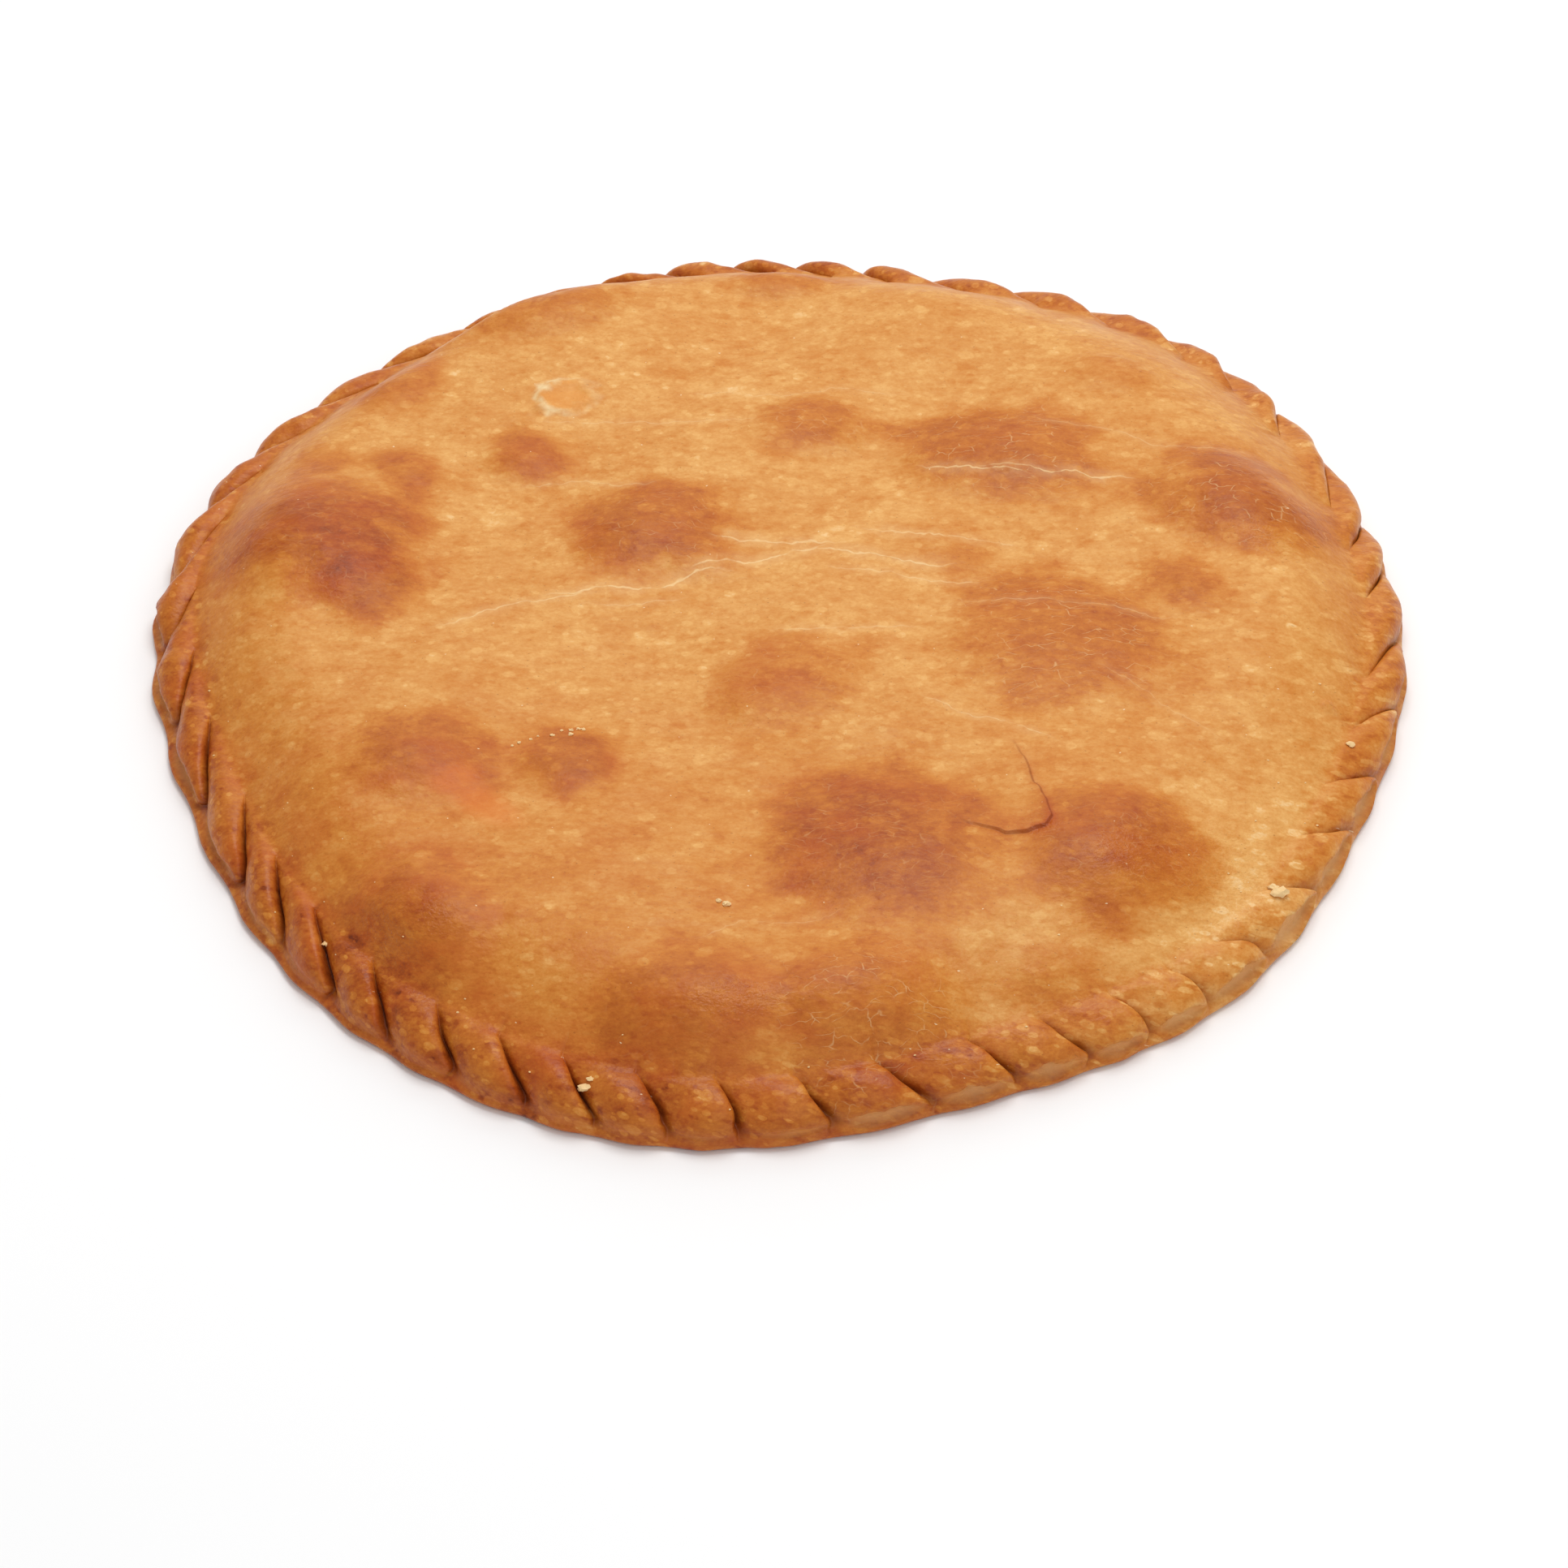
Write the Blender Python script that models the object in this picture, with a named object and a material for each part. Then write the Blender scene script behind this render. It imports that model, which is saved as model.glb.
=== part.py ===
"""A round, closed tuna empanada, 30 cm across: a flat pie with a rope-crimped rim and a blistered lid.

Metres, +Z up. The origin is the middle of the underside, so the pie stands on the plane Z = 0.
Places round the pie are clock angles, seen from above: 0 on +X, then clockwise, so that 90 degrees
is the near side (-Y), 180 the left side (-X) and 270 the far side (+Y).
"""

import math
import random

import bpy
import numpy as np

MM = 0.001

# The whole pie.
PIE_RADIUS = 149.2 * MM
LID_HEIGHT = 23.5 * MM
# The outline is uneven: waves round the pie, amplitude, and the clock angle of one crest.
OUTLINE_WAVES = (
    (1, 1.15 * MM, 292.0),
    (2, 2.65 * MM, 148.5),
    (3, 3.0 * MM, 91.0),
    (4, 1.3 * MM, 31.0),
    (5, 1.5 * MM, 41.2),
    (6, 0.35 * MM, 9.4),
    (7, 0.9 * MM, 47.1),
    (8, 0.5 * MM, 1.6),
)

# The rope crimp. Degrees that each fold takes, from the first one at the right and on clockwise.
FOLD_DEGREES = (
    8.5, 7.8, 9.1, 8.7, 8.3, 6.5, 6.1, 7.5, 7.7, 9.2, 8.1, 6.0, 6.5, 6.5, 7.2,
    7.1, 7.8, 7.5, 8.8, 11.3, 11.2, 9.5, 7.9, 9.4, 8.0, 8.2, 9.3, 9.3, 7.6, 7.6,
    6.9, 6.8, 6.8, 6.9, 6.4, 7.5, 7.9, 8.3, 7.4, 7.8, 7.4, 10.2, 7.1, 8.3, 10.1,
)
FOLD_COUNT = len(FOLD_DEGREES)
FIRST_CREASE = 5.8
# Most folds rise steeply from their crease and fall away slowly: a fold is the sine of its share
# to this power, and 0.5 puts its crest near its crease. At the back right a thumb dented them, and
# they rise slowly. Clock angle, spread and added power.
FOLD_RELIEF = 3.6 * MM
MEAN_FOLD = 0.6
STEEP_FOLD = 0.5
DENTED_FOLDS = (325.0, 30.0, 1.1)
ROUND_FOLDS = (195.0, 26.0, 0.4)
# Clock angle, spread and share: flatter folds at the right front, taller ones at the back.
FOLD_SIZES_ROUND = ((30.0, 38.0, -0.6), (278.0, 30.0, 0.45), (210.0, 24.0, 0.2))
FOLD_SIZE_JITTER = 0.13
CREASE_SLIP = 0.12
CREST_JITTER = 0.1
FOLD_SEED = 11
# A crease cuts in below the folds: its depth, and its width in folds on the low and steep sides.
CREASE_DEPTH = 1.5 * MM
CREASE_WIDTHS = (0.085, 0.024)
# Folds that a crease sweeps round on its way in: most of the pie, and less at the right front.
FOLD_SLANT = 0.80
UPRIGHT_CREASES = (60.0, 50.0, 0.42)
# A crease is a straight slant in most places, and an arc on the left: added power.
ARCHED_CREASES = (183.0, 32.0, 0.6)
# The outline swells at the middle of each fold, most of all on the left.
SCALLOP = 0.45 * MM
DEEP_SCALLOPS = (195.0, 40.0, 0.45 * MM)

# The crimp is about as wide as a fingertip. At the back and the back left it stands higher by a
# share of its height: clock angle, spread and share.
CRIMP_WIDTH = 9.0 * MM
WIDE_CRIMP = (130.0, 65.0, 2.2 * MM)
SEAM_HEIGHT = 12.0 * MM
TALL_CRIMP = ((272.0, 26.0, 0.16), (205.0, 22.0, 0.08))
# Its section, from the inner seam over its crest and down to the foot: inward in shares of its
# width, height in mm, share of the folds' relief, the same at dented folds, then shares of the
# crease's depth, of the slant and of the outline's swelling.
CRIMP_SECTION = (
    (1.00, 12.0, 0.25, 0.60, 0.08, 1.00, 0.0),
    (0.78, 11.3, 0.75, 0.90, 0.40, 0.78, 0.0),
    (0.52, 10.1, 1.00, 0.90, 0.80, 0.56, 0.2),
    (0.28, 8.4, 0.95, 0.50, 1.00, 0.33, 0.5),
    (0.11, 6.3, 0.65, 0.25, 0.95, 0.13, 0.9),
    (0.05, 4.4, 0.20, 0.12, 0.35, 0.00, 1.0),
    (0.02, 2.8, 0.06, 0.06, 0.00, 0.00, 1.0),
    (0.00, 1.5, 0.00, 0.00, 0.00, 0.00, 0.9),
    (0.07, 0.4, 0.00, 0.00, 0.00, 0.00, 0.6),
    (0.22, 0.0, 0.00, 0.00, 0.00, 0.00, 0.4),
)
TYPICAL_WIDTH_MM = 10.0
# Under some folds the side face gapes in a lens-shaped pocket. Clock angle, spread and share.
GAPE_DEPTH = 2.3 * MM
GAPING_FOLDS = ((22.0, 44.0, 1.0), (75.0, 14.0, 0.45), (176.0, 26.0, 0.7))
GAPE_STATION = 5.1
GAPE_HALF_HEIGHT = 1.35
# On the left the bottom crust stands out beyond the folds. The folds draw back above the first of
# these stations, and no more so at the others, towards the seam.
LIP_REACH = (158.0, 46.0, 1.2 * MM)
LIP_STATION = 6.7
LIP_FADE = (3.5, 0.5)

# The lid rises from the seam over a rounded shoulder, wider where the filling thins out, and
# leaves the crimp in a soft hollow, given as a share of the shoulder.
SHOULDER = 29.5 * MM
WIDE_SHOULDER = (42.0, 26.0, 14.0 * MM)
STEEP_SHOULDER = (240.0, 50.0, -13.0 * MM)
SHOULDER_POWER = 2.2
SEAM_HOLLOW = 0.10
# The folds run out on to the lid within a few millimetres, and rings grow round this far in.
FOLD_FADE = 3.2 * MM
ROUNDED_OUT = 60.0 * MM
# Long, low waves of the lid: millimetres across X and Y, phase in degrees, height.
LID_WAVES = (
    (118.0, 176.0, 40.0, 0.9 * MM),
    (-83.0, 104.0, 200.0, 0.6 * MM),
    (61.0, -71.0, 90.0, 0.35 * MM),
)
# Blisters where steam lifted the lid: middle X and Y, half length and half width, clock angle of
# the long axis, height, all in millimetres and degrees.
BLISTERS = (
    (-110.0, 27.0, 31.0, 27.0, 20.0, 5.0),
    (-98.0, 8.0, 17.0, 15.0, 60.0, 1.6),
    (-91.0, 51.0, 10.0, 9.0, 0.0, 1.3),
    (-61.0, 56.0, 14.0, 11.0, 0.0, 2.0),
    (-31.0, 29.0, 23.0, 18.0, -20.0, 3.4),
    (-17.0, 18.0, 12.0, 9.0, 10.0, 1.2),
    (9.0, 67.0, 19.0, 12.0, -8.0, 2.2),
    (54.0, 57.0, 31.0, 19.0, 6.0, 4.0),
    (112.0, 40.0, 27.0, 20.0, 26.0, 4.8),
    (96.0, 9.0, 14.0, 12.0, 20.0, 2.0),
    (68.0, -9.0, 34.0, 28.0, 12.0, 4.6),
    (41.0, 23.0, 14.0, 10.0, 0.0, 0.8),
    (1.0, -24.0, 23.0, 16.0, -24.0, 2.6),
    (-83.0, -49.0, 20.0, 17.0, 10.0, 2.6),
    (-49.0, -50.0, 14.0, 13.0, -30.0, 2.2),
    (23.0, -77.0, 31.0, 28.0, 0.0, 4.8),
    (78.0, -78.0, 24.0, 22.0, 10.0, 4.2),
    (-85.0, -99.0, 24.0, 22.0, 30.0, 4.6),
    (-21.0, -127.0, 25.0, 19.0, 0.0, 3.8),
    (21.0, -125.0, 26.0, 19.0, 0.0, 3.8),
    (62.0, -111.0, 15.0, 10.0, 0.0, 0.9),
    (82.0, 85.0, 14.0, 9.0, 10.0, 1.0),
    (-55.0, 112.0, 25.0, 13.0, -22.0, 3.2),
    (0.0, 124.0, 15.0, 8.0, 0.0, 2.2),
    (-94.0, 84.0, 14.0, 11.0, -40.0, 1.8),
    (-74.0, 112.0, 24.0, 10.0, -34.0, 3.0),
)
BLISTER_POWER = 1.6
BLISTER_EDGE = 8.0 * MM

# How finely the faceted solid follows the shape: places within each fold, in shares of it, and
# the distances of the lid's rings inside the seam, with the columns that each ring keeps.
FOLD_COLUMNS = (0.0, 0.05, 0.14, 0.27, 0.43, 0.60, 0.77, 0.92)
LID_RINGS_MM = (
    (2.5, 1), (6, 2), (11, 2), (17, 2), (24, 4), (32, 4), (41, 4), (50, 4),
    (60, 4), (71, 4), (83, 4), (95, 8), (108, 8), (120, 8), (131, 8),
)
UNDERSIDE_RINGS_MM = ((14, 2), (60, 4))

CRUST_COLOUR = (0.62, 0.30, 0.10, 1.0)
CRUST_ROUGHNESS = 0.5

fold_random = random.Random(FOLD_SEED)
FOLD_SIZES = np.array(
    [1.0 + fold_random.uniform(-FOLD_SIZE_JITTER, FOLD_SIZE_JITTER) for _ in range(FOLD_COUNT)]
)
CREASE_SLIPS = np.array([fold_random.uniform(-CREASE_SLIP, CREASE_SLIP) for _ in range(FOLD_COUNT)])
CREST_POWERS = np.array([fold_random.uniform(-CREST_JITTER, CREST_JITTER) for _ in range(FOLD_COUNT)])
CREASES = FIRST_CREASE + np.cumsum((0.0,) + FOLD_DEGREES)
# The row of folds goes on past both ends, so that a slanting crease can cross the first one.
FOLD_NUMBERS = np.arange(-3, FOLD_COUNT + 4)
FOLD_ANGLES = CREASES[FOLD_NUMBERS % FOLD_COUNT] + 360.0 * (FOLD_NUMBERS // FOLD_COUNT)
COLUMNS = np.array([fold + share for fold in range(FOLD_COUNT) for share in FOLD_COLUMNS])


def near(clock, middle, spread):
    """1 at the middle clock angle, falling off either side of it; all in degrees."""
    apart = (np.asarray(clock) - middle + 180.0) % 360.0 - 180.0
    return np.exp(-((apart / spread) ** 2))


def eased(value, start, end):
    """0 at the start, 1 at the end, with soft ends; start may be the larger."""
    share = min(max((value - start) / (end - start), 0.0), 1.0)
    return share * share * (3.0 - 2.0 * share)


def outline(clock):
    """Radius of the pie at a clock angle."""
    radius = np.full_like(clock, PIE_RADIUS)
    for waves, amplitude, crest in OUTLINE_WAVES:
        radius = radius + amplitude * np.cos(np.radians(waves * (clock - crest)))
    return radius


def crimp_width(clock):
    """Width of the crimp at a clock angle, from the outline to its inner seam."""
    middle, spread, added = WIDE_CRIMP
    return CRIMP_WIDTH + added * near(clock, middle, spread)


def tall(clock):
    """How much higher than usual the crimp stands at a clock angle."""
    return 1.0 + sum(share * near(clock, middle, spread) for middle, spread, share in TALL_CRIMP)


def clock_of(slant_share):
    """Clock angle of every column, swept round by a share of the folds' slant."""
    start = np.interp(COLUMNS, FOLD_NUMBERS, FOLD_ANGLES)
    middle, spread, less = UPRIGHT_CREASES
    slant = FOLD_SLANT - less * near(start, middle, spread)
    slip = np.interp(COLUMNS, FOLD_NUMBERS, CREASE_SLIPS[FOLD_NUMBERS % FOLD_COUNT])
    middle, spread, added = ARCHED_CREASES
    swept = slant_share ** (1.0 + added * near(start, middle, spread))
    return np.interp(COLUMNS + swept * (slant + slip), FOLD_NUMBERS, FOLD_ANGLES)


def fold_size(clock):
    """How large the folds are at a clock angle, as a share of most folds' size."""
    size = np.ones_like(clock)
    for middle, spread, added in FOLD_SIZES_ROUND:
        size = size * (1.0 + added * near(clock, middle, spread))
    return size


def fold_relief(clock):
    """Height of the folds over their mean surface, for every column."""
    number = np.floor(COLUMNS).astype(int)
    power = STEEP_FOLD + CREST_POWERS[number]
    for middle, spread, added in (DENTED_FOLDS, ROUND_FOLDS):
        power = power + added * near(clock, middle, spread)
    height = np.sin(math.pi * np.mod(COLUMNS, 1.0) ** power) - MEAN_FOLD
    return FOLD_RELIEF * FOLD_SIZES[number] * fold_size(clock) * height


def crease_closeness():
    """1 in a crease, falling off slowly on its low side and at once on the steep one."""
    apart = (COLUMNS + 0.5) % 1.0 - 0.5
    return np.exp(-((apart / np.where(apart < 0.0, *CREASE_WIDTHS)) ** 2))


def fold_lift(clock, steep, dented, groove):
    """How far the folds and creases lift the crimp's surface, for every column."""
    share = steep + (dented - steep) * near(clock, *DENTED_FOLDS[:2])
    crease = groove * CREASE_DEPTH * fold_size(clock) * crease_closeness()
    return share * fold_relief(clock) - crease


def pocket(station, clock):
    """How far the pocket under each fold goes in, for every column."""
    gaping = sum(share * near(clock, middle, spread) for middle, spread, share in GAPING_FOLDS)
    gape = np.sin(math.pi * (COLUMNS % 1.0)) * np.clip(gaping, 0.0, 1.0)
    lens = max(1.0 - ((station - GAPE_STATION) / GAPE_HALF_HEIGHT) ** 2, 0.0)
    return GAPE_DEPTH * math.sqrt(lens) * gape


def lid_height(x, y, inward, clock):
    """Height of the lid at x, y, which lies this far inside the seam."""
    reach = SHOULDER
    for middle, spread, added in (WIDE_SHOULDER, STEEP_SHOULDER):
        reach = reach + added * near(clock, middle, spread)
    share = inward / reach
    share = np.clip(share * share / (share + SEAM_HOLLOW) * (1.0 + SEAM_HOLLOW), 0.0, 1.0)
    risen = 1.0 - (1.0 - share) ** SHOULDER_POWER
    seam = SEAM_HEIGHT * tall(clock)
    height = seam + (LID_HEIGHT - seam) * risen
    for across_x, across_y, phase, amplitude in LID_WAVES:
        turn = 2.0 * math.pi * (x / (across_x * MM) + y / (across_y * MM)) + math.radians(phase)
        height = height + amplitude * np.sin(turn) * risen
    for blister in BLISTERS:
        height = height + blister_height(x, y, *blister) * np.clip(inward / BLISTER_EDGE, 0.0, 1.0)
    return height


def blister_height(x, y, middle_x, middle_y, half_length, half_width, clock, height):
    """How far one blister lifts the lid at x, y."""
    turn = math.radians(clock)
    apart_x = x - middle_x * MM
    apart_y = y - middle_y * MM
    along = (apart_x * math.cos(turn) - apart_y * math.sin(turn)) / (half_length * MM)
    across = (apart_x * math.sin(turn) + apart_y * math.cos(turn)) / (half_width * MM)
    return height * MM * np.clip(1.0 - along**2 - across**2, 0.0, 1.0) ** BLISTER_POWER


def ring_points(clock, radius, height):
    """Points at these clock angles, as an array of x, y, z."""
    turn = np.radians(clock)
    height = np.broadcast_to(height, radius.shape)
    return np.stack([radius * np.cos(turn), -radius * np.sin(turn), height], axis=-1)


def crimp_rings():
    """The rings of the crimp, from the inner seam to the foot."""
    section = np.array(CRIMP_SECTION)
    along = np.gradient(section[:, :2] * (TYPICAL_WIDTH_MM, 1.0), axis=0)
    along = along / np.linalg.norm(along, axis=1)[:, None]
    rings = []
    for station, (inward, height, steep, dented, groove, slant, swell) in enumerate(CRIMP_SECTION):
        along_in, along_up = along[station]
        clock = clock_of(slant)
        lift = fold_lift(clock, steep, dented, groove)
        middle, spread, reach = LIP_REACH
        drawn_back = eased(station, LIP_STATION, LIP_STATION - 1.0) * (1.0 - eased(station, *LIP_FADE))
        drawn_back = drawn_back * reach * near(clock, middle, spread)
        middle, spread, added = DEEP_SCALLOPS
        scallop = (SCALLOP + added * near(clock, middle, spread)) * np.cos(2.0 * math.pi * COLUMNS)
        radius = outline(clock) - inward * crimp_width(clock) - lift * along_up
        radius = radius - swell * scallop - drawn_back - pocket(station, clock)
        rise = height * MM * tall(clock) - lift * along_in
        rings.append(ring_points(clock, radius, np.maximum(rise, 0.0)))
    rings[-1][:, 2] = 0.0
    return rings


def lid_rings():
    """The rings of the lid, from just inside the seam to the middle."""
    clock = clock_of(1.0)
    seam = outline(clock) - crimp_width(clock)
    middle_seam = PIE_RADIUS - CRIMP_WIDTH
    steep, dented, groove = CRIMP_SECTION[0][2:5]
    rings = []
    for inward_mm, keep in LID_RINGS_MM:
        inward = inward_mm * MM
        rounder = min(inward / ROUNDED_OUT, 1.0)
        radius = seam - inward + (middle_seam - seam) * rounder
        x, y, _ = ring_points(clock, radius, 0.0).T
        height = lid_height(x, y, inward, clock)
        height = height + math.exp(-inward / FOLD_FADE) * fold_lift(clock, steep, dented, groove)
        rings.append(ring_points(clock, radius, height)[::keep])
    return rings


def underside_rings():
    """The flat rings of the underside, from just inside the foot to the middle."""
    clock = clock_of(0.0)
    rings = []
    for inward_mm, keep in UNDERSIDE_RINGS_MM:
        rings.append(ring_points(clock, outline(clock) - inward_mm * MM, 0.0)[::keep])
    return rings


def bridge(outer, inner):
    """Faces between two rings of vertex numbers. The inner one has as many, or half as many."""
    count = len(outer)
    faces = []
    if len(inner) == count:
        for i in range(count):
            j = (i + 1) % count
            faces.append((outer[i], outer[j], inner[j], inner[i]))
        return faces
    for i in range(0, count, 2):
        j, k = i + 1, (i + 2) % count
        a, b = inner[i // 2], inner[(i // 2 + 1) % len(inner)]
        faces += [(outer[i], outer[j], a), (outer[j], b, a), (outer[j], outer[k], b)]
    return faces


def pie_mesh():
    """The closed mesh of the whole pie."""
    over = list(reversed(crimp_rings())) + lid_rings()
    under = underside_rings()
    top = np.array([[0.0, 0.0, lid_height(np.zeros(1), np.zeros(1), PIE_RADIUS, np.zeros(1))[0]]])
    base = np.zeros((1, 3))
    points = np.concatenate(over + [top] + under + [base])
    counts = [len(ring) for ring in over + [top] + under + [base]]
    starts = np.concatenate([[0], np.cumsum(counts)])
    rings = [list(range(start, start + count)) for start, count in zip(starts, counts)]
    over_rings, top_ring = rings[: len(over)], rings[len(over)]
    under_rings, base_ring = rings[len(over) + 1 : -1], rings[-1]

    faces = []
    for outer, inner in zip(over_rings, over_rings[1:]):
        faces += bridge(outer, inner)
    last = over_rings[-1]
    faces += [(last[i], last[(i + 1) % len(last)], top_ring[0]) for i in range(len(last))]
    for outer, inner in zip([over_rings[0]] + under_rings, under_rings):
        faces += [tuple(reversed(face)) for face in bridge(outer, inner)]
    last = under_rings[-1]
    faces += [(last[(i + 1) % len(last)], last[i], base_ring[0]) for i in range(len(last))]

    low, high = points.min(axis=0), points.max(axis=0)
    points[:, :2] -= (low[:2] + high[:2]) / 2.0
    mesh = bpy.data.meshes.new("empanada")
    mesh.from_pydata(points.tolist(), [], [tuple(reversed(face)) for face in faces])
    mesh.validate()
    mesh.shade_smooth()
    return mesh


def crust_material():
    """Baked wheat dough, golden brown with a low sheen."""
    material = bpy.data.materials.new("baked_crust")
    material.use_nodes = True
    shader = material.node_tree.nodes["Principled BSDF"]
    shader.inputs["Base Color"].default_value = CRUST_COLOUR
    shader.inputs["Roughness"].default_value = CRUST_ROUGHNESS
    shader.inputs["Metallic"].default_value = 0.0
    return material


def main():
    for old in list(bpy.data.objects):
        bpy.data.objects.remove(old)
    mesh = pie_mesh()
    mesh.materials.append(crust_material())
    pie = bpy.data.objects.new("empanada", mesh)
    bpy.context.scene.collection.objects.link(pie)


main()
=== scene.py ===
# %% [markdown]
# A tuna empanada, 30 cm across: a closed, round, flat pie of oil-rich wheat dough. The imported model
# gives its size, its place and its main form. This lesson makes the surface that the eye sees: the
# rope-crimped rim, the lid that steam has lifted into brown blisters, and the baked crust itself.

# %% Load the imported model
import functools
import math
import random

import bmesh
import bpy
import numpy as np
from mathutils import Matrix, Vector
from mathutils.geometry import delaunay_2d_cdt


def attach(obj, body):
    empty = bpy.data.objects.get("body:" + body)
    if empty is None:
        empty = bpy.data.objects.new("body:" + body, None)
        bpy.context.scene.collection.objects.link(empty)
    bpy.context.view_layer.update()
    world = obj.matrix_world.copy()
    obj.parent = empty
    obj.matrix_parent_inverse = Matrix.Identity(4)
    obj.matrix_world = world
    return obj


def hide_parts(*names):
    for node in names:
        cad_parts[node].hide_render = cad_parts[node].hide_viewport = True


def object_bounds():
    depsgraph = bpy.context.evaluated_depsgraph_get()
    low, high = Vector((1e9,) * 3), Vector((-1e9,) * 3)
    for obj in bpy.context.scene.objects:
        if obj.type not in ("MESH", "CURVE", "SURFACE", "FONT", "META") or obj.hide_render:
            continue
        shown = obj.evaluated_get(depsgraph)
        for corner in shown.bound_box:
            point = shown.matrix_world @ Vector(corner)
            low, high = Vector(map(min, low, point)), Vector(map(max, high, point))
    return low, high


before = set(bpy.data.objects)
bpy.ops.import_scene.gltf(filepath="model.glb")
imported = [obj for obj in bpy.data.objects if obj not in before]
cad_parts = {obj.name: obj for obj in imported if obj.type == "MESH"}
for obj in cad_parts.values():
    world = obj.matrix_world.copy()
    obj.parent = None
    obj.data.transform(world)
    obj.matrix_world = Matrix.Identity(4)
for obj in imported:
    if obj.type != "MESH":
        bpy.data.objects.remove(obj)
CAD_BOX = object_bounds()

MM = 0.001
print("packed model, mm:", [round((high - low) / MM, 1) for low, high in zip(*CAD_BOX)])

# %% [markdown]
# A place round the pie is a clock angle, seen from above: 0 on +X, then clockwise, so that 90
# degrees is the near side and 270 the far side. The outline isn't a circle, because the baker
# rolled the dough by hand. A few waves of different counts round the pie draw it well, where one
# circle would look machine cut, and a list of points would say nothing about the shape.

# %% The outline
PIE_RADIUS = 149.2 * MM
OUTLINE_WAVES = (
    (1, 1.15 * MM, 292),
    (2, 2.65 * MM, 148.5),
    (3, 3 * MM, 91),
    (4, 1.3 * MM, 31),
    (5, 1.5 * MM, 41.2),
    (6, 0.35 * MM, 9.4),
    (7, 0.9 * MM, 47.1),
    (8, 0.5 * MM, 1.6),
)


def near(clock, middle, spread):
    """1 at the middle clock angle, falling off either side of it; all in degrees."""
    apart = (np.asarray(clock) - middle + 180.0) % 360.0 - 180.0
    return np.exp(-((apart / spread) ** 2))


def added(clock, patch):
    """What a patch of the rim adds: its middle and spread in degrees, and how much."""
    middle, spread, amount = patch
    return amount * near(clock, middle, spread)


def outline(clock):
    """Radius of the pie at a clock angle."""
    radius = np.full_like(clock, PIE_RADIUS)
    for waves, amplitude, crest in OUTLINE_WAVES:
        radius = radius + amplitude * np.cos(np.radians(waves * (clock - crest)))
    return radius


every_degree = np.arange(0.0, 360.0, 1.0)
print("outline radius, mm:", np.round(np.percentile(outline(every_degree) / MM, [0, 50, 100]), 1))

# %% [markdown]
# Dough is never quite smooth. Value noise is the simplest unevenness to make by hand: random
# numbers on a square net, with a soft blend between them. The seed keeps each one the same.

# %% Soft unevenness
NET = 97


def unevenness(x, y, size, seed):
    """Smooth random values from -1 to 1 that change over about this size."""
    table = np.random.default_rng(seed).uniform(-1.0, 1.0, (NET, NET))
    column, row = np.floor(x / size), np.floor(y / size)
    along, up = x / size - column, y / size - row
    along, up = along * along * (3.0 - 2.0 * along), up * up * (3.0 - 2.0 * up)
    i, j = column.astype(int) % NET, row.astype(int) % NET
    right, above = (i + 1) % NET, (j + 1) % NET
    low = table[i, j] * (1.0 - along) + table[right, j] * along
    high = table[i, above] * (1.0 - along) + table[right, above] * along
    return low * (1.0 - up) + high * up


def smooth_step(value, start, end):
    """0 at the start, 1 at the end, with soft ends; start may be the larger."""
    share = np.clip((value - start) / (end - start), 0, 1)
    return share * share * (3.0 - 2.0 * share)


sample = unevenness(every_degree, np.zeros(len(every_degree)), 9.0, 1)
print("unevenness, low and high:", np.round([sample.min(), sample.max()], 2))

# %% [markdown]
# The rim is a rope crimp: the baker folds the edge of the bottom crust over the lid with a thumb,
# again and again. A crease parts each fold from the next. Round most of the pie a fold rises
# steeply from its crease and falls away slowly to the next. At the back right the thumb pressed
# the other way, and the fold rises slowly out of a dent. If the columns of the mesh follow the
# folds, a crease is one clean edge loop. That is why the mesh is built round the folds and not
# on an even grid.

# %% The rule of the folds
# Degrees that each fold takes, from the first one at the right and on clockwise.
FOLD_DEGREES = (
    8.5, 7.8, 9.1, 8.7, 8.3, 6.5, 6.1, 7.5, 7.7, 9.2, 8.1, 6.0, 6.5, 6.5, 7.2,
    7.1, 7.8, 7.5, 8.8, 11.3, 11.2, 9.5, 7.9, 9.4, 8.0, 8.2, 9.3, 9.3, 7.6, 7.6,
    6.9, 6.8, 6.8, 6.9, 6.4, 7.5, 7.9, 8.3, 7.4, 7.8, 7.4, 10.2, 7.1, 8.3, 10.1,
)
FOLD_COUNT = len(FOLD_DEGREES)
FIRST_CREASE = 5.8
FOLD_RELIEF = 3.6 * MM
MEAN_FOLD = 0.6
CREASE_DEPTH = 1.5 * MM
# Width in folds on the low side of a crease, and on the side where the next fold stands up.
CREASE_WIDTHS = (0.085, 0.024)
# The outline swells at the middle of each fold, most of all on the left.
SCALLOP = 0.45 * MM
DEEP_SCALLOPS = (195.0, 40.0, 0.45 * MM)
FOLD_SIZE_JITTER = 0.13
CREASE_SLIP = 0.12
CREST_JITTER = 0.1
FOLD_SEED = 11
# Clock angle, spread and share: flatter folds at the right front, taller ones at the back.
FOLD_SIZES_ROUND = ((30, 38, -0.6), (278, 30, 0.45), (210, 24, 0.2))
# A fold is the sine of its share to this power: 0.5 puts its crest near its crease.
STEEP_FOLD = 0.5
DENTED_FOLDS = (325, 30, 1.1)
ROUND_FOLDS = (195, 26, 0.4)
# Folds that a crease sweeps round on its way in: most of the pie, and less at the right front.
FOLD_SLANT = 0.80
UPRIGHT_CREASES = (60, 50, 0.42)
# A crease is a straight slant in most places, and an arc on the left: added power.
ARCHED_CREASES = (183, 32, 0.6)
FOLD_LEAN = 0.07
FOLD_LEAN_WIDTH = 0.4
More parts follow.
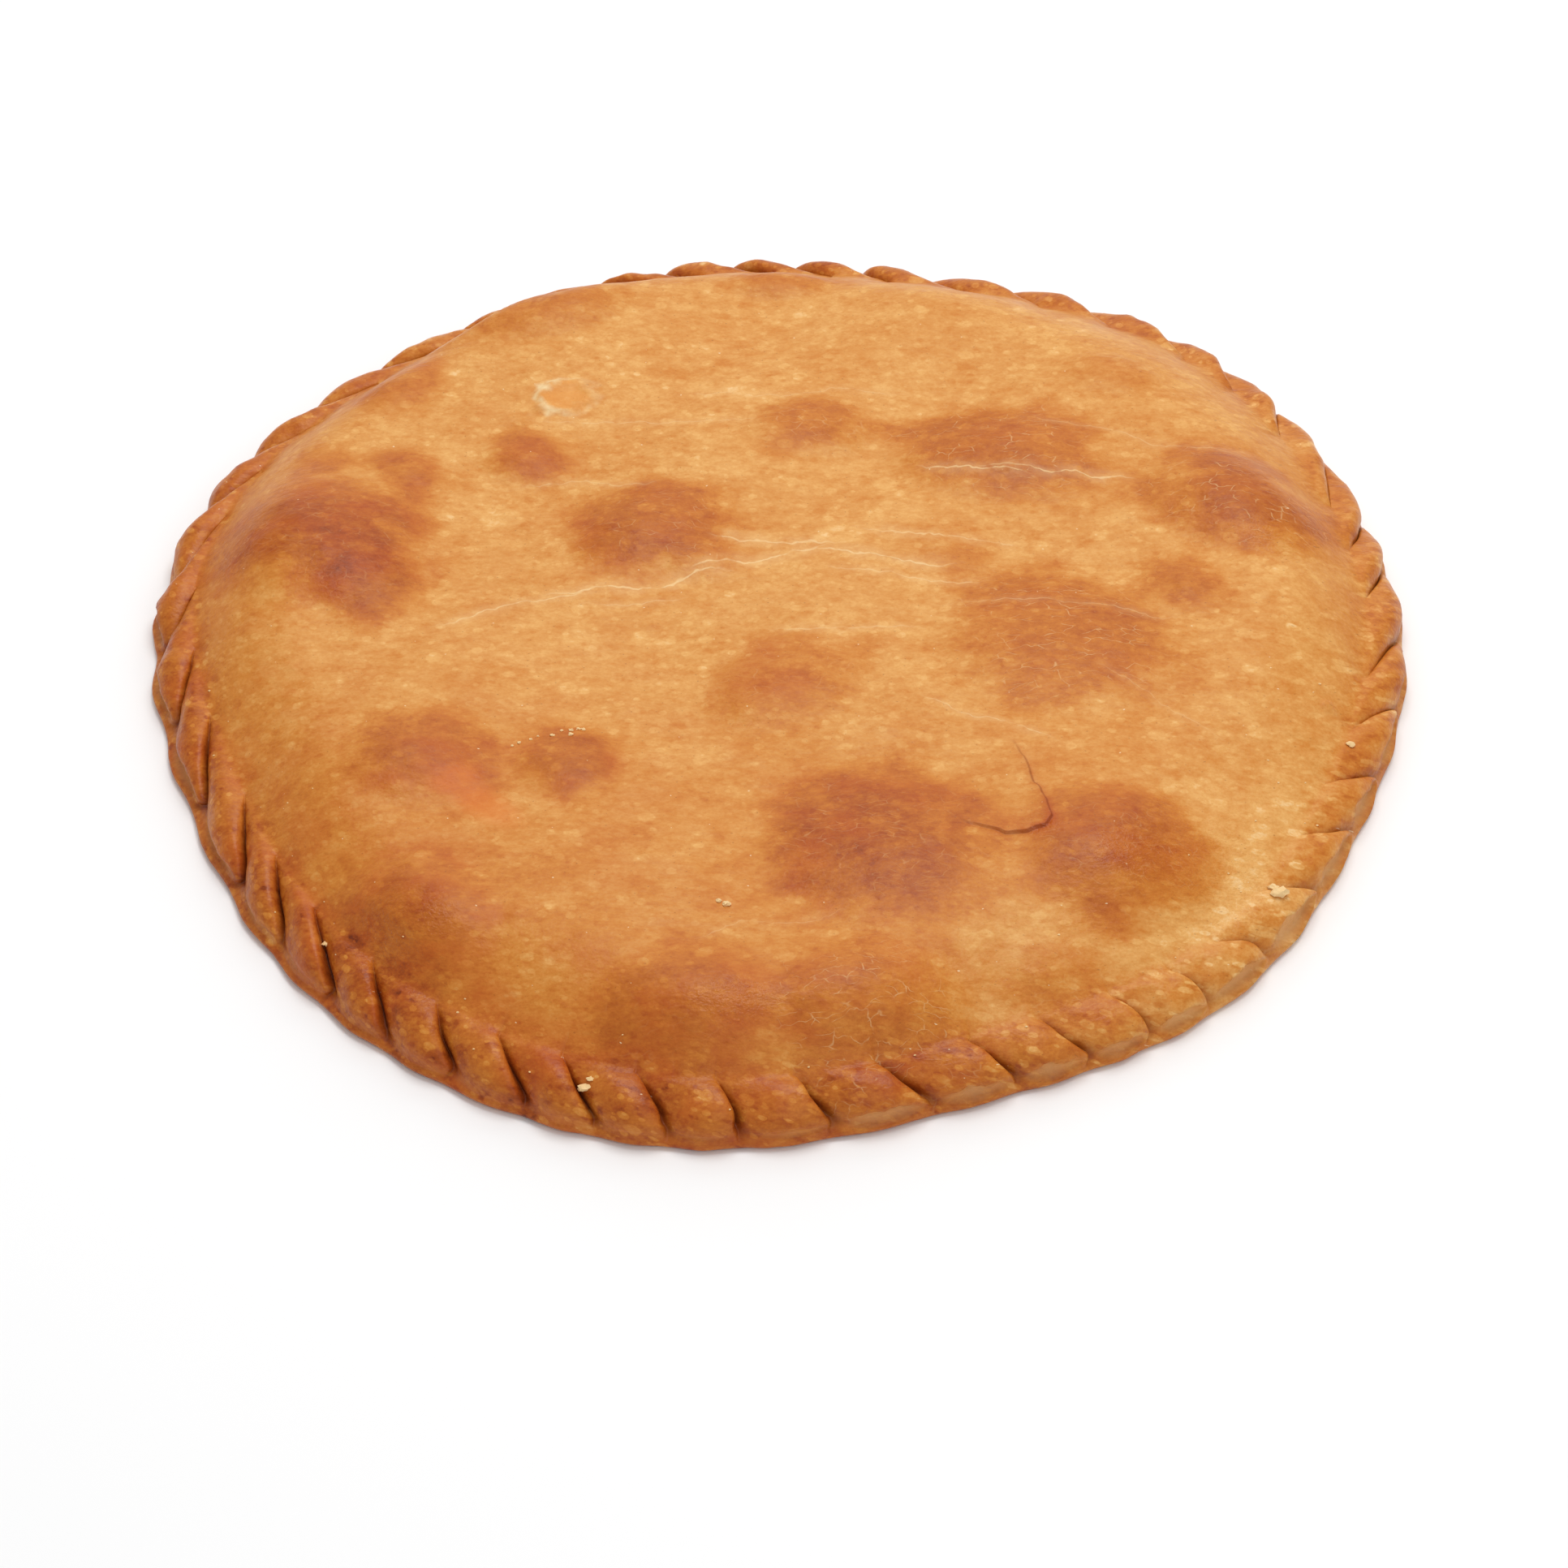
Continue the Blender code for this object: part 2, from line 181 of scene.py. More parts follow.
# Places within a fold that get a column of the mesh: close together at the crease.
FOLD_COLUMNS = (
    0.0, 0.014, 0.034, 0.06, 0.092, 0.13, 0.175, 0.23, 0.29, 0.355,
    0.425, 0.5, 0.575, 0.65, 0.72, 0.785, 0.845, 0.9, 0.945, 0.98,
)


fold_random = random.Random(FOLD_SEED)
CREASES = FIRST_CREASE + np.cumsum((0.0,) + FOLD_DEGREES)
FOLD_SIZES = np.array(
    [1.0 + fold_random.uniform(-FOLD_SIZE_JITTER, FOLD_SIZE_JITTER) for _ in range(FOLD_COUNT)]
)
CREASE_SLIPS = np.array([fold_random.uniform(-CREASE_SLIP, CREASE_SLIP) for _ in range(FOLD_COUNT)])
CREST_POWERS = np.array([fold_random.uniform(-CREST_JITTER, CREST_JITTER) for _ in range(FOLD_COUNT)])
# The row of folds goes on past both ends, so that a slanting crease can cross the first one.
FOLD_NUMBERS = np.arange(-3, FOLD_COUNT + 4)
FOLD_ANGLES = CREASES[FOLD_NUMBERS % FOLD_COUNT] + 360.0 * (FOLD_NUMBERS // FOLD_COUNT)
COLUMNS = np.array([fold + share for fold in range(FOLD_COUNT) for share in FOLD_COLUMNS])
print("folds:", FOLD_COUNT, " columns of the rim:", len(COLUMNS))


def fold_slant(clock):
    """How many folds a crease sweeps round between the outer edge and its inner end."""
    return FOLD_SLANT - added(clock, UPRIGHT_CREASES)


def fold_height(folds, clock):
    """Height across the folds, 0 to 1: low in a crease, and highest on the crest."""
    power = STEEP_FOLD + CREST_POWERS[np.floor(folds).astype(int) % FOLD_COUNT]
    for patch in (DENTED_FOLDS, ROUND_FOLDS):
        power = power + added(clock, patch)
    return np.sin(math.pi * np.mod(folds, 1.0) ** power)


def fold_lean(share):
    """How far the steep side of a fold leans out over its crease, in folds."""
    part = np.clip(np.mod(share, 1.0) / FOLD_LEAN_WIDTH, 0, 1)
    return FOLD_LEAN * np.sin(math.pi * np.sqrt(part))


def crease_closeness(folds, width=1.0):
    """1 in a crease, falling off slowly on its low side and at once on the steep one."""
    apart = (folds + 0.5) % 1.0 - 0.5
    return np.exp(-((apart / (width * np.where(apart < 0.0, *CREASE_WIDTHS))) ** 2))


def fold_size(clock):
    """How large the folds are at a clock angle, as a share of most folds' size."""
    size = np.ones_like(clock)
    for patch in FOLD_SIZES_ROUND:
        size = size * (1.0 + added(clock, patch))
    return size


def fold_relief(folds, clock):
    """Height of the folds over their mean surface, at places counted in folds."""
    number = np.floor(folds).astype(int) % FOLD_COUNT
    return FOLD_RELIEF * FOLD_SIZES[number] * fold_size(clock) * (fold_height(folds, clock) - MEAN_FOLD)


def fold_swell(folds, clock):
    """How far the outline swells: a soft wave that is lowest at the creases."""
    return -(SCALLOP + added(clock, DEEP_SCALLOPS)) * np.cos(2.0 * math.pi * folds)


def dented(clock, steep, dent):
    """A share that is one value round most of the pie and another at the dented folds."""
    return steep + (dent - steep) * near(clock, *DENTED_FOLDS[:2])


def clock_of(folds, slant_share):
    """Clock angle at places counted in folds, swept round by a share of the folds' slant."""
    start = np.interp(folds, FOLD_NUMBERS, FOLD_ANGLES)
    slip = np.interp(folds, FOLD_NUMBERS, CREASE_SLIPS[FOLD_NUMBERS % FOLD_COUNT])
    swept = max(slant_share, 0.0) ** (1.0 + added(start, ARCHED_CREASES))
    return np.interp(folds + swept * (fold_slant(start) + slip), FOLD_NUMBERS, FOLD_ANGLES)


FOLD_GRID = np.arange(-2.0, FOLD_COUNT + 2.0, 0.125)
SEAM_CLOCKS = clock_of(FOLD_GRID, 1.0)


def folds_at(clock):
    """Where a clock angle lies, counted in folds, along the crimp's inner seam."""
    return np.interp(np.mod(clock, 360.0), SEAM_CLOCKS, FOLD_GRID)


# %% [markdown]
# The lid is a flat dome with a rounded shoulder. Steam under the dough pushed up blisters, which
# brown first because they are thin and stand nearest the heat. So one table serves both: the form
# of each blister, and how brown and how crackled its skin is.

# %% The lid's form
# The crimp is about as wide as a fingertip, and widest at the front.
CRIMP_WIDTH = 9 * MM
WIDE_CRIMP = (130.0, 65.0, 2.2 * MM)
SEAM_HEIGHT = 12 * MM
# At the back and the back left the crimp stands higher, by a share of its height.
TALL_CRIMP = ((272, 26, 0.16), (205, 22, 0.08))
LID_HEIGHT = 23.5 * MM
SHOULDER = 29.5 * MM
WIDE_SHOULDER = (42.0, 26.0, 14 * MM)
STEEP_SHOULDER = (240.0, 50.0, -13 * MM)
SHOULDER_POWER = 2.2
SEAM_HOLLOW = 0.10
ROUNDED_OUT = 60 * MM
# The folds run out on to the lid within a few millimetres.
FOLD_FADE = 3.2 * MM
SEAM_RELIEF = (0.25, 0.60)
SEAM_GROOVE = 0.08
BLISTER_POWER = 1.6
BLISTER_EDGE = 8 * MM
LID_WAVES = (
    (118, 176, 40, 0.9 * MM),
    (-83, 104, 200, 0.6 * MM),
    (61, -71, 90, 0.35 * MM),
)
# Middle X and Y, half length and half width, clock angle of the long axis, height, then how
# brown it is and how crackled, from 0 to 1. Millimetres and degrees.
BLISTERS = (
    (-110, 27, 31, 27, 20, 5, 0.60, 0.3),
    (-98, 8, 17, 15, 60, 1.6, 0.45, 0.2),
    (-91, 51, 10, 9, 0, 1.3, 0.35, 0),
    (-61, 56, 14, 11, 0, 2, 0.4, 0.1),
    (-31, 29, 23, 18, -20, 3.4, 0.48, 0.5),
    (-17, 18, 12, 9, 10, 1.2, 0.2, 0.6),
    (9, 67, 19, 12, -8, 2.2, 0.36, 0.5),
    (54, 57, 31, 19, 6, 4, 0.43, 0.9),
    (112, 40, 27, 20, 26, 4.8, 0.56, 0.9),
    (96, 9, 14, 12, 20, 2, 0.35, 0.2),
    (68, -9, 34, 28, 12, 4.6, 0.42, 0.9),
    (41, 23, 14, 10, 0, 0.8, 0.16, 0.2),
    (1, -24, 23, 16, -24, 2.6, 0.29, 0.3),
    (-83, -49, 20, 17, 10, 2.6, 0.42, 0.1),
    (-49, -50, 14, 13, -30, 2.2, 0.42, 0.1),
    (23, -77, 31, 28, 0, 4.8, 0.58, 0.4),
    (78, -78, 24, 22, 10, 4.2, 0.50, 0.3),
    (-85, -99, 24, 22, 30, 4.6, 0.34, 0),
    (-21, -127, 25, 19, 0, 3.8, 0.34, 0.1),
    (21, -125, 26, 19, 0, 3.8, 0.30, 0.8),
    (62, -111, 15, 10, 0, 0.9, 0.26, 0.3),
    (82, 85, 14, 9, 10, 1, 0.15, 0),
    (-55, 112, 25, 13, -22, 3.2, 0.25, 0),
    (0, 124, 15, 8, 0, 2.2, 0.25, 0),
    (-94, 84, 14, 11, -40, 1.8, 0.3, 0),
    (-74, 112, 24, 10, -34, 3, 0, 0),
)


def apart_from(x, y, middle_x, middle_y, half_length, half_width, clock):
    """Distance from a patch's middle, where 1 is its edge."""
    turn = math.radians(clock)
    apart_x, apart_y = x - middle_x * MM, y - middle_y * MM
    along = (apart_x * math.cos(turn) - apart_y * math.sin(turn)) / (half_length * MM)
    across = (apart_x * math.sin(turn) + apart_y * math.cos(turn)) / (half_width * MM)
    return np.sqrt(along**2 + across**2)


MIDDLE_SEAM = PIE_RADIUS - CRIMP_WIDTH


def crimp_width(clock):
    """Width of the crimp at a clock angle, from the outline to its inner seam."""
    return CRIMP_WIDTH + added(clock, WIDE_CRIMP)


def tall(clock):
    """How much higher than usual the crimp stands at a clock angle."""
    return 1.0 + sum(added(clock, patch) for patch in TALL_CRIMP)


def lid_radius(clock, inward):
    """Radius this far inside the seam, on rings that grow round towards the middle."""
    seam = outline(clock) - crimp_width(clock)
    return seam - inward * (1.0 + (seam - MIDDLE_SEAM) / ROUNDED_OUT)


def inside_seam(x, y):
    """How far a point lies inside the crimp's inner seam, and its clock angle."""
    clock = np.degrees(np.arctan2(-y, x)) % 360.0
    radius = np.hypot(x, y)
    seam = outline(clock) - crimp_width(clock)
    inward = (seam - radius) / (1.0 + (seam - MIDDLE_SEAM) / ROUNDED_OUT)
    return np.where(inward > ROUNDED_OUT, MIDDLE_SEAM - radius, inward), clock


def lid_form(x, y):
    """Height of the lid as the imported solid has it: shoulder, waves, blisters and the folds' ends."""
    inward, clock = inside_seam(x, y)
    share = inward / (SHOULDER + added(clock, WIDE_SHOULDER) + added(clock, STEEP_SHOULDER))
    share = np.clip(share * share / (share + SEAM_HOLLOW) * (1.0 + SEAM_HOLLOW), 0, 1)
    risen = 1.0 - (1.0 - share) ** SHOULDER_POWER
    seam = SEAM_HEIGHT * tall(clock)
    height = seam + (LID_HEIGHT - seam) * risen
    for across_x, across_y, phase, amplitude in LID_WAVES:
        turn = 2.0 * math.pi * (x / (across_x * MM) + y / (across_y * MM)) + math.radians(phase)
        height = height + amplitude * np.sin(turn) * risen
    for *place, lift, _, _ in BLISTERS:
        apart = apart_from(x, y, *place)
        blister = lift * MM * np.clip(1.0 - apart**2, 0, 1) ** BLISTER_POWER
        height = height + blister * np.clip(inward / BLISTER_EDGE, 0, 1)
    folds = folds_at(clock)
    relief = dented(clock, *SEAM_RELIEF) * fold_relief(folds, clock)
    relief = relief - SEAM_GROOVE * CREASE_DEPTH * fold_size(clock) * crease_closeness(folds)
    return height + np.exp(-np.maximum(inward, 0.0) / FOLD_FADE) * relief


middle_height = lid_form(np.zeros(1), np.zeros(1))[0]
print("height in the middle, mm:", round(middle_height / MM, 1))

# %% [markdown]
# Nearer to, the lid has smaller things on it: pimples of trapped gas, a flake that burst, a flap
# of skin that split along a curved crack, and a drop of baked oil. They are low, but they catch
# the light, so they are real relief in the mesh and not only a pattern in the material.

# %% Small relief of the lid
# The pimples: how far out they lie, their radii and heights in mm, and how much longer than wide.
PIMPLE_COUNT, PIMPLE_SEED = 260, 5
PIMPLE_REACH, PIMPLE_RADII, PIMPLE_HEIGHTS, PIMPLE_LENGTH = 132, (1.8, 4.6), (0.12, 0.34), 1.3
# Unevenness of the whole lid: size and height in mm, and seed.
LID_UNEVENNESS = ((34, 0.45, 21), (13, 0.16, 22), (5.5, 0.07, 23))
# The flake's torn rim stands up round a hollow, which goes down by a share of its height.
FLAKE = (-52.8, 76.8, 7.5, 5.6, -15)
FLAKE_HEIGHT, FLAKE_HOLLOW = 0.9 * MM, 0.75
OIL_DROP = (129.5, -24.1, 1.7, 1.5, 0)
OIL_DROP_HEIGHT = 1.1 * MM
# The crack round the flap, from its upper end to the corner and back to the left.
CRACK = ((54.6, -44.5), (56.6, -51), (59.4, -60.5), (62.2, -71), (60.6, -73.6), (56.6, -75.2),
         (51.9, -75.4), (46.4, -73.6), (41.8, -71))
CRACK_STEP = 0.4 * MM
# The crack wanders: over this length, by this much. Past the circle round it nothing is measured.
CRACK_CIRCLE = (54 * MM, -62 * MM, 34 * MM)
CRACK_WANDER = ((7 * MM, 0.5 * MM), (2.2 * MM, 0.3 * MM))
FLAP_LIFT = 0.85 * MM
FLAP_REACH = 9 * MM


def crack_line():
    """The crack as closely spaced points, and how far along it each one is, 0 to 1."""
    corners = np.array(CRACK) * MM
    lengths = np.hypot(*np.diff(corners, axis=0).T)
    along = np.concatenate([[0.0], np.cumsum(lengths)])
    steps = np.linspace(0.0, along[-1], int(along[-1] / CRACK_STEP))
    line = np.stack([np.interp(steps, along, corners[:, axis]) for axis in (0, 1)], axis=1)
    for axis in (0, 1):
        for size, amplitude in CRACK_WANDER:
            line[:, axis] += amplitude * unevenness(steps, steps * 0.0, size, 61 + axis)
    return line, steps / along[-1]


CRACK_LINE, CRACK_SHARE = crack_line()


def crack_distance(x, y):
    """Signed distance to the crack, positive on the flap's side, and the share along it."""
    points = np.stack([x, y], axis=1)
    distance = np.full(len(points), 1.0)
    share = np.zeros(len(points))
    middle_x, middle_y, radius = CRACK_CIRCLE
    close = np.hypot(x - middle_x, y - middle_y) < radius
    gaps = np.linalg.norm(points[close][:, None] - CRACK_LINE[None], axis=2)
    nearest = gaps.argmin(axis=1)
    along = np.gradient(CRACK_LINE, axis=0)[nearest]
    off = points[close] - CRACK_LINE[nearest]
    side = np.sign(off[:, 1] * along[:, 0] - off[:, 0] * along[:, 1])
    distance[close] = gaps[np.arange(len(gaps)), nearest] * -side
    share[close] = CRACK_SHARE[nearest]
    return distance, share


def pimples(x, y):
    """Low round bumps, strewn at random."""
    rng = random.Random(PIMPLE_SEED)
    height = np.zeros(len(x))
    for _ in range(PIMPLE_COUNT):
        turn = rng.uniform(0.0, 2.0 * math.pi)
        out = math.sqrt(rng.uniform(0.0, 1.0)) * PIMPLE_REACH
        radius = rng.uniform(*PIMPLE_RADII)
        place = (out * math.cos(turn), out * math.sin(turn), radius * PIMPLE_LENGTH, radius, 0.0)
        bump = np.clip(1.0 - apart_from(x, y, *place) ** 2, 0, 1) ** 2
        height = height + rng.uniform(*PIMPLE_HEIGHTS) * MM * bump
    return height


def small_relief(x, y):
    """What stands on the lid beyond its main form."""
    height = pimples(x, y)
    for size, amplitude, seed in LID_UNEVENNESS:
        height = height + amplitude * MM * unevenness(x, y, size * MM, seed)
    flake = apart_from(x, y, *FLAKE) + 0.18 * unevenness(x, y, 2.5 * MM, 31)
    rim, hollow = smooth_step(flake, 1.1, 0.85), smooth_step(flake, 0.8, 0.55)
    height = height + FLAKE_HEIGHT * (rim - FLAKE_HOLLOW * hollow)
    drop = apart_from(x, y, *OIL_DROP)
    height = height + OIL_DROP_HEIGHT * np.sqrt(np.clip(1.0 - drop**2, 0, 1))
    distance, share = crack_distance(x, y)
    taper = np.sin(math.pi * np.clip(share, 0, 1)) ** 0.5
    lifted = np.where(distance > 0.0, np.exp(-distance / FLAP_REACH), 0.0)
    return height + FLAP_LIFT * taper * lifted


print("length of the crack, mm:", round(len(CRACK_LINE) * CRACK_STEP / MM))

# %% [markdown]
# The crimp is a bead with a section that turns from the inner seam over a crest, down a side face
# where the two crusts meet, and under to the foot. A smooth curve through ten stations of that
# section gives as many rows of mesh as the eye needs. On the right the folds flatten and gape, so
# a lens-shaped pocket is pressed into the side face under each of them.

# %% The crimp's section
# Inward in shares of the crimp's width, height in mm, share of the folds' relief, the same at
# dented folds, then shares of the crease's depth, of the slant and of the outline's swelling.
CRIMP_SECTION = np.array((
    (1, 12, 0.25, 0.6, 0.08, 1, 0),
    (0.78, 11.3, 0.75, 0.9, 0.4, 0.78, 0),
    (0.52, 10.1, 1, 0.9, 0.8, 0.56, 0.2),
    (0.28, 8.4, 0.95, 0.5, 1, 0.33, 0.5),
    (0.11, 6.3, 0.65, 0.25, 0.95, 0.13, 0.9),
    (0.05, 4.4, 0.26, 0.14, 0.75, 0, 1),
    (0.02, 2.8, 0.08, 0.06, 0.25, 0, 1),
    (0, 1.5, 0, 0, 0, 0, 0.9),
    (0.07, 0.4, 0, 0, 0, 0, 0.6),
    (0.22, 0, 0, 0, 0, 0, 0.4),
))
TYPICAL_WIDTH_MM = 10.0
LAST_STATION = len(CRIMP_SECTION) - 1
# Rows of mesh between one station and the next.
ROWS_BETWEEN = (4, 4, 4, 4, 5, 5, 3, 3, 2)
CRUMPLE, CRUMPLE_SIZE, CRUMPLE_SEED = 0.26 * MM, 3.4 * MM, 41
# A crease strays by a share of a fold on its way.
CREASE_WANDER, WANDER_SEED = 0.07, 43
# Pockets: depth, then where round the pie they gape, as clock angle, spread and share.
GAPE_DEPTH = 2.3 * MM
GAPING_FOLDS = ((22, 44, 1), (75, 14, 0.45), (176, 26, 0.7))
# Their middle and half height in stations, their ends in the fold, and how far a fold arches up.
GAPE_STATION, GAPE_HALF_HEIGHT = 5.1, 1.5
GAPE_START, GAPE_END = 0.05, 0.9
GAPE_ARCH = 0.9 * MM
GAPE_SEED, RAGGED = 8, 0.35
# At the front left the folded edge overhangs the foot of the pie as a lip.
LIP_STATION = 6.7
LIP_REACH = (158.0, 46.0, 1.2 * MM)
LIP_FADE = (3.5, 0.5)


def section_rows():
    """Stations between the given ones, on a smooth curve through them, and its direction."""
    places = [np.arange(rows) / rows + station for station, rows in enumerate(ROWS_BETWEEN)]
    places = np.concatenate(places + [[LAST_STATION]])
    base = np.clip(np.floor(places).astype(int), 0, LAST_STATION - 1)
    share = (places - base)[:, None]
    before, start = CRIMP_SECTION[np.maximum(base - 1, 0)], CRIMP_SECTION[base]
    end, after = CRIMP_SECTION[base + 1], CRIMP_SECTION[np.minimum(base + 2, LAST_STATION)]
    curve = 0.5 * (
        2.0 * start
        + (end - before) * share
        + (2.0 * before - 5.0 * start + 4.0 * end - after) * share**2
        + (3.0 * start - before - 3.0 * end + after) * share**3
    )
    along = np.gradient(curve[:, :2] * (TYPICAL_WIDTH_MM, 1.0), places, axis=0)
    along = along / np.linalg.norm(along, axis=1)[:, None]
    return places, curve, along


STATIONS, SECTION, SECTION_ALONG = section_rows()
GAPE_SIZES = np.random.default_rng(GAPE_SEED).uniform(0.75, 1.15, FOLD_COUNT)
print("rows of the crimp:", len(STATIONS))


def gape_at(clock):
    """How far the pocket under each fold gapes, 0 to 1, for every column."""
    along = np.clip((COLUMNS % 1.0 - GAPE_START) / (GAPE_END - GAPE_START), 0, 1)
    size = GAPE_SIZES[np.floor(COLUMNS).astype(int)]
    gaping = sum(added(clock, patch) for patch in GAPING_FOLDS)
    ragged = 1.0 + RAGGED * unevenness(COLUMNS, 0.0 * COLUMNS, 0.16, GAPE_SEED)
    return np.sin(math.pi * along) * size * ragged * np.clip(gaping, 0, 1)


def pocket_at(station, gape):
    """Depth share of a pocket in the side face: a lens with steep walls, as high as it gapes."""
    half_height = GAPE_HALF_HEIGHT * np.maximum(gape, 0.01) ** 0.6
    lens = np.clip(1.0 - ((station - GAPE_STATION) / half_height) ** 2, 0, 1)
    return np.sqrt(lens) * np.clip(1.6 * gape, 0, 1)


def polar(clock, radius):
    """X and Y at these clock angles."""
    turn = np.radians(clock)
    return radius * np.cos(turn), -radius * np.sin(turn)


def crimp_row(number):
    """Points of one row of the crimp, the depth of its creases, and how deep in a pocket it is."""
    station = STATIONS[number]
    inward, height, steep, dent, groove, slant, swell = SECTION[number]
    along_in, along_up = SECTION_ALONG[number]
    wander = CREASE_WANDER * unevenness(COLUMNS, station * 0.45 + 0.0 * COLUMNS, 1.0, WANDER_SEED)
    clock = clock_of(COLUMNS + wander - steep * fold_lean(COLUMNS), slant)
    crease = groove * fold_size(clock) * crease_closeness(COLUMNS, 0.55 + 0.2 * min(station, 4.0))
    lift = dented(clock, steep, dent) * fold_relief(COLUMNS, clock) - CREASE_DEPTH * crease
    around, across = np.radians(clock) * PIE_RADIUS, np.full(len(clock), station * 2.4 * MM)
    lift = lift + CRUMPLE * (0.3 + steep) * unevenness(around, across, CRUMPLE_SIZE, CRUMPLE_SEED)
    gape = gape_at(clock)
    pocket = pocket_at(station, gape)
    arch = GAPE_ARCH * gape * smooth_step(station, 1.0, 3.6) * smooth_step(station, 5.6, 4.6)
    lip = smooth_step(station, LIP_STATION, LIP_STATION - 1.0) * (1.0 - smooth_step(station, *LIP_FADE))
    lip = lip * added(clock, LIP_REACH)
    radius = outline(clock) - inward * crimp_width(clock) - lift * along_up - lip
    radius = radius + swell * fold_swell(COLUMNS, clock) - GAPE_DEPTH * pocket
    rise = np.maximum(height * MM * tall(clock) - lift * along_in + arch, 0.0)
    if number == len(STATIONS) - 1:
        rise = np.zeros_like(rise)
    return np.stack([*polar(clock, radius), rise], axis=1), crease, pocket


# %% [markdown]
# Inside the seam the folds no longer matter, and what counts is an even, fine skin. Columns that
# run to the middle would crowd there and leave the shoulder coarse. A triangular lattice gives
# every square millimetre the same detail, and a Delaunay triangulation stitches it to the ring
# of folds. Extra points along the crack make its edge crisp.

# %% The skin of the lid
COLLAR_ROWS_MM = (0.8, 1.7, 2.7, 3.8, 5.0)
LATTICE_STEP = 1.09 * MM
# Rows of points beside the crack, and how far the lattice keeps from them and from the collar.
CRACK_ROWS = (-0.52 * MM, -0.13 * MM, 0.13 * MM, 0.52 * MM)
CRACK_GAP, COLLAR_GAP = 0.55 * LATTICE_STEP, 0.62 * LATTICE_STEP


def collar_row(inward_mm):
    """Points of a row just inside the seam, which still follows the folds."""
    fade = math.exp(-inward_mm * MM / FOLD_FADE)
    clock = clock_of(COLUMNS - SEAM_RELIEF[0] * fade * fold_lean(COLUMNS), 1.0)
    x, y = polar(clock, lid_radius(clock, inward_mm * MM))
    height = lid_form(x, y) + small_relief(x, y) * edge_share(x, y)
    return np.stack([x, y, height], axis=1), SEAM_GROOVE * fade * crease_closeness(COLUMNS)


def edge_share(x, y):
    """Small relief fades out towards the seam, where the fold's own crumples take over."""
    return smooth_step(inside_seam(x, y)[0], 0.0, 6 * MM)


def lattice_points():
    """Places of a triangular lattice inside the collar, and beside the crack."""
    row_gap = LATTICE_STEP * math.sqrt(3.0) / 2.0
    half = int(160 * MM / LATTICE_STEP)
    i, j = np.meshgrid(np.arange(-half, half + 1), np.arange(-2 * half, 2 * half + 1))
    x = (i + 0.5 * (j % 2)).ravel() * LATTICE_STEP
    y = j.ravel() * row_gap
    inside = inside_seam(x, y)[0] > COLLAR_ROWS_MM[-1] * MM + COLLAR_GAP
    x, y = x[inside], y[inside]
    free = np.abs(crack_distance(x, y)[0]) > CRACK_GAP
    along = np.gradient(CRACK_LINE, axis=0)
    across = np.stack([-along[:, 1], along[:, 0]], axis=1)
    across = across / np.linalg.norm(across, axis=1)[:, None]
    sides = [CRACK_LINE + across * side for side in CRACK_ROWS]
    return np.concatenate([np.stack([x[free], y[free]], axis=1)] + sides)


def stitched_skin(collar):
    """Triangles over the lattice and the collar's last row, whose vertices come first."""
    inner = lattice_points()
    flat = [Vector(point) for point in np.concatenate([collar[:, :2], inner])]
    loop = [(i, (i + 1) % len(collar)) for i in range(len(collar))]
    placed, _, triangles, *_ = delaunay_2d_cdt(flat, loop, [], 1, 1e-7)
    x, y = np.array([point[:] for point in placed]).T
    height = lid_form(x, y) + small_relief(x, y) * edge_share(x, y)
    height[: len(collar)] = collar[:, 2]
    return np.stack([x, y, height], axis=1), np.array(triangles)


print("points inside the collar:", len(lattice_points()))

# %% [markdown]
# The underside lay on the tray: it is flat, so a few wide rings close the mesh there.

# %% Join the rows into one closed mesh
UNDERSIDE_ROWS_MM = ((8.0, 2), (20.0, 4), (60.0, 4))


def bridge(outer, inner):
    """Faces between two rings of vertex numbers. The inner one has as many, or half as many."""
    count = len(outer)
    if len(inner) == count:
        return [(outer[i], outer[(i + 1) % count], inner[(i + 1) % count], inner[i]) for i in range(count)]
    faces = []
    for i in range(0, count, 2):
        j, k = i + 1, (i + 2) % count
        a, b = inner[i // 2], inner[(i // 2 + 1) % len(inner)]
        faces += [(outer[i], outer[j], a), (outer[j], b, a), (outer[j], outer[k], b)]
    return faces


